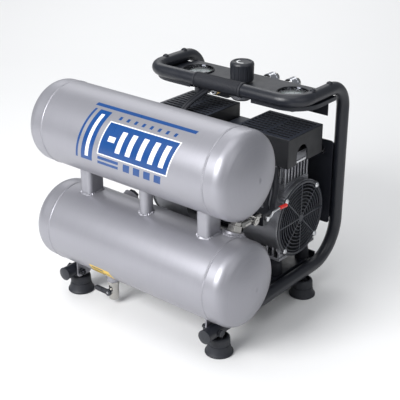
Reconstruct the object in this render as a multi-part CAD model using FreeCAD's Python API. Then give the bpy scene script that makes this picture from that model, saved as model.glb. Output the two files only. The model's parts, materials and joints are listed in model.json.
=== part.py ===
import FreeCAD, Part
import math
import os

# Twin-stack air compressor: two aluminium tanks, one above the other, in front of an
# oil-free twin-cylinder pump set, all carried in a frame of bent steel tube.
# Millimetres. +X is the operator's right, +Y the back, +Z up. The origin is on the
# floor, under the middle of the whole machine.

Vec = FreeCAD.Vector
X, Y, Z = Vec(1, 0, 0), Vec(0, 1, 0), Vec(0, 0, 1)

# --- clearances ---
running_fit = 0.06          # radial gap of a shaft in its own bore
free_gap = 0.4              # gap between pieces that pass each other

# --- overall ---
overall_depth = 462.0       # front of the tanks' seams to the back of the uprights

# --- frame tube ---
tube_radius = 12.7
tube_bore = 11.1
frame_x = 180.0             # middle to the centre of a rail
rail_z = 52.0
arm_z = 418.0
upright_y = overall_depth / 2 - tube_radius
handle_y = upright_y - 161.5
bottom_bend, top_bend, handle_bend = 80.0, 48.0, 42.0
grip_half, grip_radius = 58.0, 14.8
grip_groove, grip_groove_depth = 1.2, 0.5
grip_pitch, grip_count = 4.0, 25
plug_radius, plug_lip, plug_dome, plug_shank = 13.4, 2.5, 2.5, 12.0

# --- tanks ---
tank_radius = 80.0
tank_wall = 2.5
barrel_half = 190.0         # middle to the seam
head_collar = 22.0          # straight part of an end cap
head_depth = 38.0           # bulge of an end cap
head_knuckle = 24.0
seam_height = 0.8
seam_width = 5.0
rail_gap, tank_gap = 3.3, 47.0      # rails to the lower tank, and tank to tank
lower_tank_z = rail_z + tube_radius + rail_gap + tank_radius
upper_tank_z = lower_tank_z + 2 * tank_radius + tank_gap
tank_y = -overall_depth / 2 + tank_radius + seam_height
rail_front = tank_y - 55.0

post_x = 145.0
post_width, post_front, post_back = 29.0, 22.0, 18.0
post_corner = 8.0
post_wall = 2.5
link_x, link_y = 2.0, tank_y - 8.0
link_radius, link_bore = 12.5, 9.5

# --- fasteners ---
bolt_radius = 4.0
bolt_flats = 13.0
bolt_head = 5.0
nut_height = 6.5
small_bolt_radius = 3.0
small_nut_flats, small_nut = 10.0, 5.0
dome_radius, dome_height = 6.5, 3.6
socket_flats, socket_depth = 4.0, 2.0
recess_length, recess_width, recess_depth = 5.4, 1.1, 1.5
washer_radius, washer = 11.0, 1.6

# --- feet ---
foot_y = (tank_y - 14.0, upright_y - 112.5)
foot_base, foot_waist, foot_top = 26.5, 20.8, 20.2
foot_height, foot_skirt = 36.0, 17.5
foot_cup, foot_cup_depth = 14.0, 6.0
foot_groove = 1.1
foot_shoulder = 5.0
foot_recess, foot_recess_height, foot_lip = 14.0, 11.0, 17.0

# --- lugs under the lower tank ---
lug_thickness, lug_corner = 3.0, 6.0
lug_front, lug_back, lug_bottom = tank_y - 35.0, tank_y, rail_z - 12.0
lug_bolt_y = tank_y - 27.0

# --- base tray ---
tray_top, tray_sheet = rail_z - 2.0, 2.0
tray_front, tray_back = tank_y + tank_radius + 14.2, upright_y - 41.3
tray_lap = 3.0              # how far the tray reaches under the rails' sides
tray_flange = 12.0
tray_lip_height, tray_lip_x, tray_lip_margin = 8.0, frame_x - 20.0, 30.0
tray_notch, tray_notch_depth, tray_notch_gap = 24.0, 9.0, 51.0

# --- pump set ---
axis_y, pad_bottom, pad_thickness = upright_y - 105.3, tray_top + 38.0, 6.0
axis_z = pad_bottom + 75.0
cylinder_x, cylinder_bore, cylinder_block = 110.0, 27.5, 40.0
motor_radius, motor_shell_wall, motor_half = 60.0, 2.5, cylinder_x - cylinder_block
motor_vent, motor_vent_half = 6.0, 6.0
gland_x, gland_half, gland_wall = -50.0, 12.0, 2.0
gland_front, gland_back, gland_bottom, gland_top = 59.0, 39.0, 33.0, 63.0
rotor_radius, rotor_half = 35.5, 42.0
stator_gap, stator_half = 0.6, 40.0
winding_inset, winding_reach = 10.0, 14.0
case_end = cylinder_x + 52.0
shaft_radius, shaft_half = 7.0, case_end - 5.0
case_radius, case_wall = 77.0, 4.0
case_back_wall = 4.0
case_rim_radius, case_rim = 79.0, 3.0
case_window, case_window_radius = 46.0, 12.0
bearing_radius, bearing_width = 16.0, 10.0
bearing_groove, bearing_groove_outer, bearing_groove_inner = 1.2, 13.0, 10.0
bearing_hub = 5.0
crank_throw = 6.0           # half the stroke
eccentric_radius = 11.0
eccentric_width = 12.0
weight_radius, weight_width, weight_hub = 20.0, 6.0, 10.0
weight_drop = 22.0
cylinder_bottom = axis_z + case_radius
cylinder_top = cylinder_bottom + 37.0
cylinder_foot = 3.0
fin_pitch, fin_gap, fin_depth = 10.4, 7.0, 9.0
piston_radius, piston_height, piston_z = 27.15, 7.0, cylinder_bottom + 16.0
piston_groove, piston_groove_depth = 1.5, 1.5
rod_width, rod_depth, rod_eye = 12.0, 9.0, 5.0
valve_plate, valve_plate_lip = 4.0, 0.5
valve_port_x, valve_port_radius = 11.0, 4.0
head_half, head_height, head_wall = 39.0, 26.0, 5.0
head_chamber, head_fin_pitch, head_fin_gap, head_fin_depth = 14.0, 10.0, 6.0, 8.0
outlet_half, outlet_height, outlet_inset = 12.0, 14.0, 24.0
fan_radius, fan_hub, fan_hub_half = 64.0, 15.0, 11.0
fan_x, blade_count, blade_chord, blade_pitch = case_end - 22.0, 7, 26.0, 35.0
blade_thickness = 2.2
grille_radius, grille_ring, grille_count = 78.0, 2.4, 10
grille_depth = 2.6
grille_hub, grille_spoke, grille_ear = 7.0, 2.6, 6.5
screw_y, screw_z = 52.0, 54.0
screw_radius, screw_head, screw_head_height = 2.0, 5.8, 3.4
screw_length, screw_boss, screw_boss_length = 11.0, 7.0, 14.0
mount_x, mount_y = case_end - 22.0, (axis_y - 47.0, axis_y + 47.0)
mount_base, mount_waist, mount_top = 14.5, 11.5, 13.0
mount_rim, mount_stud = 3.0, 4.0
pad_half_x, pad_half_y = 18.0, 14.0
rib, rib_pitch, rib_half, rib_top = 4.0, 14.0, 12.0, axis_z - 20.0

# --- rear guard ---
guard_sheet, guard_corner, guard_overlap = 2.0, 6.0, 6.0
guard_bottom, guard_top = axis_z - 42.0, axis_z + 137.0
guard_y = upright_y - 14.3
guard_screw_x, guard_screw_margin = frame_x - 29.0, 24.0
guard_slot_x, guard_slot_half, guard_slot = (-75.0, 0.0, 75.0), 28.0, 6.0
guard_slot_rows, guard_slot_pitch, guard_slot_start = 5, 28.0, 30.0

# --- shrouds and middle cover ---
shroud_in, shroud_out = cylinder_x - 73.0, case_end + 3.0
shroud_front, shroud_back = axis_y - 55.0, axis_y + 62.0
shroud_bottom, shroud_top, shroud_wall = cylinder_top + 7.5, cylinder_top + 66.0, 2.5
shroud_edge = 1.8
slot_rows, slot_width, slot_margin, slot_rib = 9, 5.5, 8.0, 8.0
arch_y, arch_half, arch_top = axis_y - 8.0, 18.0, cylinder_top + 44.0
cover_half, cover_front, cover_back = shroud_in - 1.5, axis_y - 53.0, axis_y + 61.0
cover_bottom, cover_top, cover_wall = axis_z + 27.0, cylinder_top + 37.0, 2.0
cover_edge = 3.0
crossover_radius = 4.0
crossover_z = cylinder_top + valve_plate + 9.0

# --- console ---
sheet = 2.0
console_gap = 0.1
console_top = arm_z - tube_radius - console_gap
console_rim = 8.0
console_back = upright_y - 29.3
console_side, console_corner = frame_x + 11.5, 60.0
console_waist_y, console_waist_x = console_back - 16.0, frame_x - 13.5
flange_bottom, flange_margin = console_top - 49.2, 1.0
finger_half, finger_back = 75.0, handle_y + 42.2
console_bolt_y = (handle_y + 50.0, handle_y + 107.7)
console_bolt_end = 12.0
gauge_x, gauge_y = 117.0, console_back - 52.0
gauge_radius, bezel_radius, gauge_wall, gauge_depth = 31.0, 33.0, 1.6, 27.0
gauge_stem, gauge_stem_flats = 9.0, 14.0
lens_thickness, bezel_height, bezel_lip, bezel_slope = 2.2, 3.0, 3.5, 1.0
dial_drop, dial_thickness = 8.0, 1.0
needle_length, needle_tail, needle_hub, needle_zero = 23.0, 8.0, 3.0, 135.0
needle_gap, needle_thickness, needle_hub_height = 0.8, 0.8, 1.8
needle_tip_half, needle_tail_half = 0.4, 1.5
pivot_radius, pivot_length, pivot_drop = 0.75, 5.0, 4.0
knob_y = console_back - 60.0
knob_base, knob_height = console_top + 4.8, 38.0
knob_bottom_radius, knob_radius = 22.5, 24.0
knob_crown, knob_chamfer, knob_rim, knob_dish = 5.0, 1.2, 4.0, 1.5
knob_flutes, flute_radius, flute_start, flute_end = 16, 2.2, 3.0, 6.0
knob_ceiling, knob_boss, knob_boss_gap = 10.0, 8.0, 2.0
regulator_radius, regulator_bottom = 22.0, console_top - 34.2
regulator_chamfer, regulator_shoulder, regulator_wall = 4.0, 1.5, 6.0
chamber_height, spindle_bore_start = 25.0, 20.0
bonnet_radius, bonnet_top = 11.8, knob_base + 15.0
spindle_radius, spindle_bottom, spindle_length = 3.0, console_top - 17.2, 47.0
spring_button, button_drop, button_height = 9.0, 2.0, 3.5
coupler_x, coupler_z = (11.0, 63.0), console_top - 12.2
manifold_left, manifold_right = coupler_x[0] - 31.0, coupler_x[1] + 17.0
manifold_front, manifold_height = console_back - 29.0, 19.0
gallery_radius, gallery_end, gallery_drop, port_depth = 4.0, 8.0, 4.0, 12.0
switch_left, switch_right = -78.0, -34.0
switch_front, switch_bottom = console_back - 61.0, console_top - 41.2
switch_corner, switch_wall, switch_roof, switch_nipple = 4.0, 3.0, 8.0, 6.0
rocker_pocket, rocker_wall = 7.0, 12.0
rocker_x, rocker_z, rocker_half_width, rocker_half = -56.0, console_top - 26.2, 8.0, 9.5
rocker_tilt, rocker_drop, rocker_gap, rocker_side_gap = 10.0, 1.9, 1.6, 1.0
rocker_depth, rocker_bulge, rocker_hollow, rocker_taper = 3.0, 4.5, 2.6, 0.5
rocker_pin, rocker_pin_reach, rocker_pin_end = 1.5, 2.5, 0.5
nipple_radius, coupler_radius, sleeve_radius = 6.5, 9.5, 13.3
nipple_depth, shoulder_flats, shoulder = 11.0, 20.0, 7.0
nose_radius, nose_gap = 11.2, 2.6
coupler_bore, coupler_bore_depth, coupler_passage = 5.5, 28.0, 3.5
coupler_end = console_back + 39.0
sleeve_start, sleeve_end = console_back + 12.0, console_back + 33.0
sleeve_edge, sleeve_ring, sleeve_waist_end = 1.0, 5.0, 15.0
safety_x, safety_z, safety_reach = -43.0, console_top - 21.2, 26.0
safety_flats, safety_hex, safety_radius, safety_pin = 14.0, 10.0, 6.5, 1.2
safety_stop, safety_stop_height = 3.0, 3.5
loop_radius, loop_wire = 8.0, 1.1

# --- check valve line on the lower tank ---
valve_x, valve_angle = barrel_half - 15.0, 22.0
boss_radius, boss_height = 19.0, 5.0
port_x, port_angle, port_radius, port_height = -118.0, 60.0, 17.0, 12.0
port_plug_flats, port_plug = 19.0, 8.0
valve_flats, valve_height, cap_flats, cap_height = 24.0, 12.0, 18.0, 6.0
line_z, arm_radius, tail_radius = lower_tank_z + tank_radius + 1.0, 6.0, 5.5
line_nut_flats, line_nut, line_nut_gap = 15.0, 9.0, 13.0
tee_y, tee_radius, tee_half = tank_y + tank_radius + 6.2, 8.5, 9.0
tee_cheek, tee_step, tee_screw, tee_screw_height = 6.5, 1.5, 3.0, 1.6
block_left, block_right = valve_x - 22.0, valve_x + 8.0
block_front, block_back = tee_y + 22.0, tee_y + 46.0
block_bottom, block_top, block_corner = line_z - 20.0, line_z + 4.0, 3.0
lever_y, lever_z, lever_x = block_front + 8.0, line_z - 6.0, block_right + 3.4
lever_wire, lever_hub, lever_hub_width, lever_stem = 1.9, 4.5, 5.0, 2.6
lever_stem_depth, lever_stem_socket = 11.0, 12.0
lever_bend, lever_sweep = 6.0, 30.0
red_sleeve_radius, red_sleeve_start, red_sleeve_end, red_sleeve_round = 3.6, lever_y + 39.0, 2.0, 1.2
hose_radius, hose_pitch = 5.5, 12.6

# --- drain valve ---
drain_x, drain_y = -88.0, tank_y - 12.0
drain_boss_radius, drain_boss_height = 13.0, 15.0
drain_boss_bottom = lower_tank_z - tank_radius - drain_boss_height
tank_port = 3.2
drain_radius, drain_bottom = 10.0, drain_boss_bottom - 40.0
drain_bore, drain_bore_depth, drain_passage = 4.0, 10.0, 3.2
drain_stem_z, drain_stem, drain_neck, drain_neck_reach = drain_bottom + 18.0, 2.5, 6.0, 3.0
drain_collar_flats, drain_collar, drain_collar_drop = 21.0, 7.0, 9.0
drain_ball_radius, drain_ball_passage = 6.0, 3.0
drain_lever_length, drain_lever_half, drain_lever_thickness, drain_lever_hub = 36.0, 5.0, 4.5, 7.0
lever_pip_x, lever_pip_radius, lever_pip = 18.0, 3.2, 1.2

# --- control leads between the switch and the motor ---
lead_radius, lead_pitch = 4.2, 9.6


# ---------------------------------------------------------------- helpers
def box(x0, x1, y0, y1, z0, z1):
    return Part.makeBox(x1 - x0, y1 - y0, z1 - z0, Vec(x0, y0, z0))


def rod(x, y, z, axis, radius, length):
    return Part.makeCylinder(radius, length, Vec(x, y, z), axis)


def ring(x, y, z, axis, outer, inner, length):
    return rod(x, y, z, axis, outer, length).cut(rod(x, y, z, axis, inner, length))


def turned(points, x, y, z, axis=Z):
    """Solid of revolution: points are (radius, height), turned about an axis."""
    corners = [Vec(radius, 0, height) for radius, height in points]
    wire = Part.makePolygon(corners + corners[:1])
    solid = Part.Face(wire).revolve(Vec(0, 0, 0), Z, 360)
    solid.Placement = FreeCAD.Placement(Vec(x, y, z), FreeCAD.Rotation(Z, axis))
    return solid


def hexagon(x, y, z, axis, flats, length):
    corners = []
    for side in range(7):
        angle = math.radians(60 * side)
        corners.append(Vec(math.cos(angle), math.sin(angle), 0) * (flats / math.sqrt(3)))
    solid = Part.Face(Part.makePolygon(corners)).extrude(Vec(0, 0, length))
    solid.Placement = FreeCAD.Placement(Vec(x, y, z), FreeCAD.Rotation(Z, axis))
    return solid


def dome(x, y, z, axis, radius, height):
    """Low domed screw head standing on (x, y, z)."""
    crown = (radius * radius + height * height) / (2 * height)
    ball = Part.makeSphere(crown)
    ball.translate(Vec(0, 0, height - crown))
    head = ball.common(Part.makeCylinder(radius, height))
    head.Placement = FreeCAD.Placement(Vec(x, y, z), FreeCAD.Rotation(Z, axis))
    return head


def mirrored(shape):
    return shape.mirror(Vec(0, 0, 0), X)


def both(shape):
    return [shape, mirrored(shape)]


def joined(first, *others):
    return first.fuse(list(others)).removeSplitter()


def route(points, radii):
    """Straight runs through the points, with a tangent arc at each inner point."""
    edges = []
    start = points[0]
    for before, corner, after, radius in zip(points, points[1:], points[2:], radii):
        arrive = (corner - before).normalize()
        leave = (after - corner).normalize()
        half_turn = arrive.getAngle(leave) / 2
        setback = radius * math.tan(half_turn)
        first = corner - arrive * setback
        last = corner + leave * setback
        middle_way = (leave - arrive).normalize()
        centre = corner + middle_way * (radius / math.cos(half_turn))
        middle = centre - middle_way * radius
        edges.append(Part.LineSegment(start, first).toShape())
        edges.append(Part.Arc(first, middle, last).toShape())
        start = last
    edges.append(Part.LineSegment(start, points[-1]).toShape())
    return Part.Wire(edges)


def swept(path, radius):
    start = path.Edges[0].firstVertex().Point
    way = path.Edges[0].tangentAt(path.Edges[0].FirstParameter)
    profile = Part.Wire(Part.makeCircle(radius, start, way))
    return path.makePipeShell([profile], True, True)


def bent_tube(points, radii):
    path = route(points, radii)
    return swept(path, tube_radius).cut(swept(path, tube_bore))


def hose(points, radius):
    """A bendy line: each arc is as large as its two runs allow."""
    radii = []
    for before, corner, after in zip(points, points[1:], points[2:]):
        turn = (corner - before).getAngle(after - corner)
        run = min((corner - before).Length, (after - corner).Length)
        radii.append(0.45 * run / math.tan(turn / 2))
    print("hose radius", radius, "bends", [round(value, 1) for value in radii])
    path = route(points, radii)
    solid = swept(path, radius)
    print("hose volume over section times length",
          round(solid.Volume / (math.pi * radius * radius * path.Length), 4))
    return solid


def export(name, shapes):
    solids = shapes if isinstance(shapes, list) else [shapes]
    pieces = [piece for solid in solids for piece in solid.Solids]
    for piece in pieces:
        if not piece.isValid():
            raise ValueError("unsound solid in " + name)
    Part.makeCompound(pieces).exportStep("parts/" + name + ".step")


# ---------------------------------------------------------------- tanks
def tank_core(z, radius=tank_radius):
    return rod(-barrel_half, tank_y, z, X, radius, 2 * barrel_half)


def on_tank(distance, angle):
    """A place on a spoke of the lower tank, turned back from straight up."""
    turn = math.radians(angle)
    return (tank_y + distance * math.sin(turn), lower_tank_z + distance * math.cos(turn))


def make_barrel(z):
    shell = ring(-barrel_half, tank_y, z, X, tank_radius, tank_radius - tank_wall, 2 * barrel_half)
    port = rod(link_x, link_y, lower_tank_z, Z, link_bore, upper_tank_z - lower_tank_z)
    shell = shell.cut(port)
    if z == lower_tank_z:
        shell = shell.cut(rod(drain_x, drain_y, drain_boss_bottom, Z, tank_port, tank_radius))
        y, spoke_z = on_tank(tank_radius / 2, valve_angle)
        shell = shell.cut(rod(valve_x, y, spoke_z, spoke(), tank_port, tank_radius))
    return shell


def dished(radius, knuckle, depth):
    """Outline of a dished end from its rim to its middle, and back to the axis."""
    crown = (depth * depth + radius * radius - 2 * radius * knuckle) / (2 * (depth - knuckle))
    crown_x = depth - crown
    reach = math.hypot(crown_x, radius - knuckle)
    join = Vec(crown_x - crown_x * crown / reach, 0, (radius - knuckle) * crown / reach)
    half = math.atan2(join.z - (radius - knuckle), join.x) / 2 + math.pi / 4
    knuckle_mid = Vec(knuckle * math.cos(half), 0, radius - knuckle + knuckle * math.sin(half))
    half = math.atan2(join.z, join.x - crown_x) / 2
    crown_mid = Vec(crown_x + crown * math.cos(half), 0, crown * math.sin(half))
    return [Part.Arc(Vec(0, 0, radius), knuckle_mid, join).toShape(),
            Part.Arc(join, crown_mid, Vec(depth, 0, 0)).toShape()]


def dished_solid(radius, knuckle, depth, collar):
    edges = dished(radius, knuckle, depth)
    edges.append(Part.LineSegment(Vec(depth, 0, 0), Vec(-collar, 0, 0)).toShape())
    edges.append(Part.LineSegment(Vec(-collar, 0, 0), Vec(-collar, 0, radius)).toShape())
    edges.append(Part.LineSegment(Vec(-collar, 0, radius), Vec(0, 0, radius)).toShape())
    return Part.Face(Part.Wire(Part.__sortEdges__(edges))).revolve(Vec(0, 0, 0), X, 360)


def make_tank_head(z):
    outer = dished_solid(tank_radius, head_knuckle, head_depth, head_collar)
    inner = dished_solid(tank_radius - tank_wall, head_knuckle - tank_wall,
                         head_depth - tank_wall, head_collar)
    head = outer.cut(inner)
    head.translate(Vec(barrel_half + head_collar, tank_y, z))
    seam = turned([(tank_radius, 0), (tank_radius + seam_height, seam_width * 0.3),
                   (tank_radius + seam_height, seam_width * 0.7), (tank_radius, seam_width),
                   (tank_radius - tank_wall / 2, seam_width / 2)],
                  barrel_half, tank_y, z, X)
    return joined(head, seam)


def rounded_post(x, inset):
    half = post_width / 2 - inset
    post = box(x - half, x + half, tank_y - post_front + inset, tank_y + post_back - inset,
               lower_tank_z, upper_tank_z)
    upright = [edge for edge in post.Edges if abs(edge.tangentAt(0).z) > 0.9]
    return post.makeFillet(post_corner - inset, upright)


def make_posts():
    post = rounded_post(post_x, 0).cut(rounded_post(post_x, post_wall))
    return both(post.cut([tank_core(lower_tank_z), tank_core(upper_tank_z)]))


def make_link_pipe():
    pipe = ring(link_x, link_y, lower_tank_z, Z, link_radius, link_bore, upper_tank_z - lower_tank_z)
    return pipe.cut([tank_core(lower_tank_z), tank_core(upper_tank_z)])


def make_lugs():
    outside = frame_x - tube_radius
    lug = box(outside - lug_thickness, outside, lug_front, lug_back, lug_bottom, lower_tank_z)
    corners = [edge for edge in lug.Edges
               if abs(edge.tangentAt(0).x) > 0.9 and edge.CenterOfMass.z < lug_bottom + 1]
    lug = lug.makeFillet(lug_corner, corners)
    lug = lug.cut([tank_core(lower_tank_z), rod(0, lug_bolt_y, rail_z, X, bolt_radius, frame_x)])
    return both(lug)


def spoke(angle=valve_angle):
    turn = math.radians(angle)
    return Vec(0, math.sin(turn), math.cos(turn))


def make_bosses():
    drain = rod(drain_x, drain_y, drain_boss_bottom, Z, drain_boss_radius,
                lower_tank_z - drain_boss_bottom)
    drain = drain.cut([tank_core(lower_tank_z),
                       rod(drain_x, drain_y, drain_boss_bottom, Z, tank_port, tank_radius)])
    y, z = on_tank(0, valve_angle)
    check = rod(valve_x, y, z, spoke(), boss_radius, tank_radius + boss_height)
    collar = dished_collar()
    check = check.cut([collar, rod(valve_x, y, z, spoke(), tank_port, 2 * tank_radius)])
    y, z = on_tank(0, port_angle)
    spare = rod(port_x, y, z, spoke(port_angle), port_radius, tank_radius + port_height)
    return [drain, check, spare.cut(tank_core(lower_tank_z))]


def dished_collar():
    """The lower tank's outer cylinder with its end collars, to fit welded pieces to."""
    half = barrel_half + head_collar
    seam = rod(barrel_half, tank_y, lower_tank_z, X, tank_radius + seam_height, seam_width)
    return joined(rod(-half, tank_y, lower_tank_z, X, tank_radius, 2 * half), seam)


# ---------------------------------------------------------------- frame
def make_side_tubes():
    tube = bent_tube([Vec(frame_x, rail_front, rail_z), Vec(frame_x, upright_y, rail_z),
                      Vec(frame_x, upright_y, arm_z), Vec(frame_x, handle_y + handle_bend, arm_z)],
                     [bottom_bend, top_bend])
    inside = frame_x - 2 * tube_radius
    holes = [rod(inside, lug_bolt_y, rail_z, X, bolt_radius, 4 * tube_radius)]
    for y in foot_y:
        holes.append(rod(frame_x, y, rail_z - 2 * tube_radius, Z, bolt_radius, 2 * tube_radius))
    for y in console_bolt_y:
        if y > handle_y + handle_bend:
            holes.append(console_bolt_hole(y))
    return both(tube.cut(holes))


def console_bolt_hole(y):
    return rod(console_bolt_x(y), y, arm_z - 3 * tube_radius, Z, small_bolt_radius, 6 * tube_radius)


def console_bolt_x(y):
    """The tube's centre line: straight along the arm, then round the handle bend."""
    ahead = handle_y + handle_bend - y
    if ahead <= 0:
        return frame_x
    return frame_x - handle_bend + math.sqrt(handle_bend ** 2 - ahead ** 2)


def make_handle_tube():
    back = handle_y + handle_bend
    side = frame_x - handle_bend
    turn = handle_bend * math.sqrt(0.5)
    edges = [Part.Arc(Vec(-frame_x, back, arm_z), Vec(-side - turn, back - turn, arm_z),
                      Vec(-side, handle_y, arm_z)).toShape(),
             Part.LineSegment(Vec(-side, handle_y, arm_z), Vec(side, handle_y, arm_z)).toShape(),
             Part.Arc(Vec(side, handle_y, arm_z), Vec(side + turn, back - turn, arm_z),
                      Vec(frame_x, back, arm_z)).toShape()]
    path = Part.Wire(edges)
    tube = swept(path, tube_radius).cut(swept(path, tube_bore))
    holes = []
    for y in console_bolt_y:
        if y <= back:
            holes += both(console_bolt_hole(y))
    return tube.cut(holes) if holes else tube


def make_grip():
    sleeve = ring(-grip_half, handle_y, arm_z, X, grip_radius, tube_radius, 2 * grip_half)
    grooves = []
    for step in range(grip_count):
        x = (step - (grip_count - 1) / 2) * grip_pitch - grip_groove / 2
        grooves.append(ring(x, handle_y, arm_z, X, grip_radius + 1,
                            grip_radius - grip_groove_depth, grip_groove))
    return sleeve.cut(grooves)


def make_plugs():
    lip = rod(frame_x, rail_front, rail_z, -Y, plug_radius, plug_lip)
    cap = dome(frame_x, rail_front - plug_lip, rail_z, -Y, plug_radius, plug_dome)
    shank = rod(frame_x, rail_front, rail_z, Y, tube_bore, plug_shank)
    return both(joined(lip, cap, shank))


def make_base_tray():
    edge = frame_x - tube_radius + tray_lap
    tray = box(-edge, edge, tray_front, tray_back, tray_top - tray_sheet, tray_top)
    rear = box(-edge, edge, tray_back - tray_sheet, tray_back, tray_top, tray_top + tray_flange)
    front = box(-edge, edge, tray_front, tray_front + tray_sheet, tray_top - tray_flange,
                tray_top)
    parts = [rear, front]
    for side in (-1, 1):
        x = side * tray_lip_x
        parts.append(box(x - tray_sheet / 2, x + tray_sheet / 2, tray_front + tray_lip_margin,
                         tray_back - tray_lip_margin, tray_top, tray_top + tray_lip_height))
    tray = joined(tray, *parts)
    cuts = both(rod(frame_x, rail_front, rail_z, Y, tube_radius, upright_y - rail_front))
    for side in (-1, 1):
        for y in (tray_front, tray_front + tray_notch + tray_notch_gap, tray_back - tray_notch):
            cuts.append(box(side * edge - tray_notch_depth, side * edge + tray_notch_depth,
                            y, y + tray_notch, tray_top - tray_flange - 2,
                            tray_top + tray_flange + 2))
        for y in mount_y:
            cuts.append(rod(side * mount_x, y, tray_top - tray_sheet, Z, bolt_radius, tray_sheet))
    return tray.cut(cuts)


def make_rear_guard():
    half = frame_x - tube_radius
    edge = half + guard_overlap
    guard = box(-edge, edge, guard_y - guard_sheet, guard_y, guard_bottom, guard_top)
    corners = [edge for edge in guard.Edges if abs(edge.tangentAt(0).y) > 0.9]
    guard = guard.makeFillet(guard_corner, corners)
    sides = []
    for side in (-1, 1):
        x = side * (half - guard_sheet / 2)
        sides.append(box(x - guard_sheet / 2, x + guard_sheet / 2, guard_y - guard_sheet,
                         upright_y, guard_bottom + guard_corner + guard_sheet,
                         guard_top - guard_corner - guard_sheet))
    guard = joined(guard, *sides)
    holes = []
    for x in (-guard_screw_x, guard_screw_x):
        for z in guard_screw_z():
            holes.append(rod(x, guard_y - guard_sheet, z, Y, small_bolt_radius, guard_sheet))
    for row in range(guard_slot_rows):
        for x in guard_slot_x:
            z = guard_bottom + guard_slot_start + row * guard_slot_pitch
            holes.append(box(x - guard_slot_half, x + guard_slot_half, guard_y - guard_sheet,
                             guard_y, z, z + guard_slot))
    return guard.cut(holes)


def guard_screw_z():
    return (guard_bottom + guard_screw_margin, guard_top - guard_screw_margin)


def make_dome_bolts():
    """Console bolts down through the arms, and the rear guard's screws."""
    bolts = []
    for y in console_bolt_y:
        x = console_bolt_x(y)
        top = arm_z + tube_radius
        head = dome(x, y, top, Z, dome_radius, dome_height)
        shank = rod(x, y, console_top - console_bolt_end, Z, small_bolt_radius,
                    top - console_top + console_bolt_end)
        nut = hexagon(x, y, console_top - sheet - small_nut, Z, small_nut_flats, small_nut)
        socket = hexagon(x, y, top + dome_height - socket_depth, Z, socket_flats, socket_depth)
        bolts += both(joined(head, shank, nut).cut(socket))
    for z in guard_screw_z():
        x = guard_screw_x
        head = dome(x, guard_y, z, Y, dome_radius, dome_height)
        inner = guard_y - guard_sheet - small_nut
        shank = rod(x, inner - 2, z, Y, small_bolt_radius, guard_y - inner + 2)
        nut = hexagon(x, inner, z, Y, small_nut_flats, small_nut)
        socket = hexagon(x, guard_y + dome_height - socket_depth, z, Y, socket_flats,
                         socket_depth)
        bolts += both(joined(head, shank, nut).cut(socket))
    return bolts


def make_hex_bolts():
    """Bolts of the tank's lugs and of the rubber feet, and the plug of the spare port."""
    y, z = on_tank(tank_radius + port_height, port_angle)
    bolts = [hexagon(port_x, y, z, spoke(port_angle), port_plug_flats, port_plug)]
    outside = frame_x + tube_radius
    inside = frame_x - tube_radius - lug_thickness
    head = hexagon(outside, lug_bolt_y, rail_z, X, bolt_flats, bolt_head)
    end = inside - nut_height - bolt_radius - 0.5
    shank = rod(end, lug_bolt_y, rail_z, X, bolt_radius, outside - end)
    nut = hexagon(inside - nut_height, lug_bolt_y, rail_z, X, bolt_flats, nut_height)
    bolts += both(joined(head, shank, nut))
    head_bottom = foot_recess_height - bolt_head
    seat = foot_height - foot_cup_depth
    for y in foot_y:
        head = hexagon(frame_x, y, head_bottom, Z, bolt_flats, bolt_head)
        shank = rod(frame_x, y, head_bottom, Z, bolt_radius, rail_z - head_bottom)
        plate = rod(frame_x, y, seat, Z, washer_radius, washer)
        nut_top = rail_z - tube_radius - 0.5
        nut = hexagon(frame_x, y, seat + 1, Z, bolt_flats, nut_top - seat - 1)
        bolts += both(joined(head, shank, plate, nut))
    return bolts


def make_feet():
    """Rubber bells: a flared skirt, a groove at mid height and a cup for the nut."""
    cup_floor = foot_height - foot_cup_depth
    flare = foot_base - foot_waist
    edge = 3.5
    outline = [(bolt_radius, foot_recess_height), (foot_recess, foot_recess_height),
               (foot_recess, edge), (foot_lip, 0), (foot_base - 1.2, 0),
               (foot_base, 1.2), (foot_base, edge)]
    steps = 7
    for step in range(1, steps + 1):
        share = step / steps
        outline.append((foot_base - flare * share ** 0.6, edge + (foot_skirt - edge) * share))
    groove_z = foot_skirt + foot_groove
    outline += [(foot_waist, groove_z), (foot_waist - foot_groove, groove_z + 0.7),
                (foot_waist - foot_groove, groove_z + 1.7), (foot_waist, groove_z + 2.4)]
    shoulder_z = foot_height - foot_shoulder
    outline.append((foot_top, shoulder_z))
    for step in range(1, 5):
        turn = math.radians(22.5 * step)
        outline.append((foot_top - foot_shoulder + foot_shoulder * math.cos(turn),
                        shoulder_z + foot_shoulder * math.sin(turn)))
    outline += [(foot_cup, foot_height - 1), (foot_cup, cup_floor), (bolt_radius, cup_floor)]
    feet = []
    for y in foot_y:
        feet += both(turned(outline, frame_x, y, 0))
    return feet


# ---------------------------------------------------------------- pump set
def axle(x, radius, length):
    return rod(x, axis_y, axis_z, X, radius, length)


def make_motor_shell():
    shell = axle(-motor_half, motor_radius, 2 * motor_half)
    shell = shell.cut(axle(-motor_half, motor_radius - motor_shell_wall, 2 * motor_half))
    gland = box(gland_x - gland_half, gland_x + gland_half, axis_y - gland_front,
                axis_y - gland_back, axis_z + gland_bottom, axis_z + gland_top)
    inner = gland_half - gland_wall
    hollow = box(gland_x - inner, gland_x + inner, axis_y - gland_front + gland_wall,
                 axis_y - gland_back - gland_wall, axis_z + gland_bottom + gland_wall,
                 axis_z + gland_top - gland_wall)
    gland = gland.cut(hollow).cut(axle(-motor_half, motor_radius, 2 * motor_half))
    vents = []
    vent_x = motor_half - 2 * motor_vent
    for x in (-vent_x - motor_vent, vent_x):
        for turn in range(200, 341, 20):
            vent = box(x, x + motor_vent, axis_y + motor_radius - 2 * motor_shell_wall,
                       axis_y + motor_radius + motor_shell_wall,
                       axis_z - motor_vent_half, axis_z + motor_vent_half)
            vent.rotate(Vec(0, axis_y, axis_z), X, turn)
            vents.append(vent)
    return joined(shell, gland).cut(vents)


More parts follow.
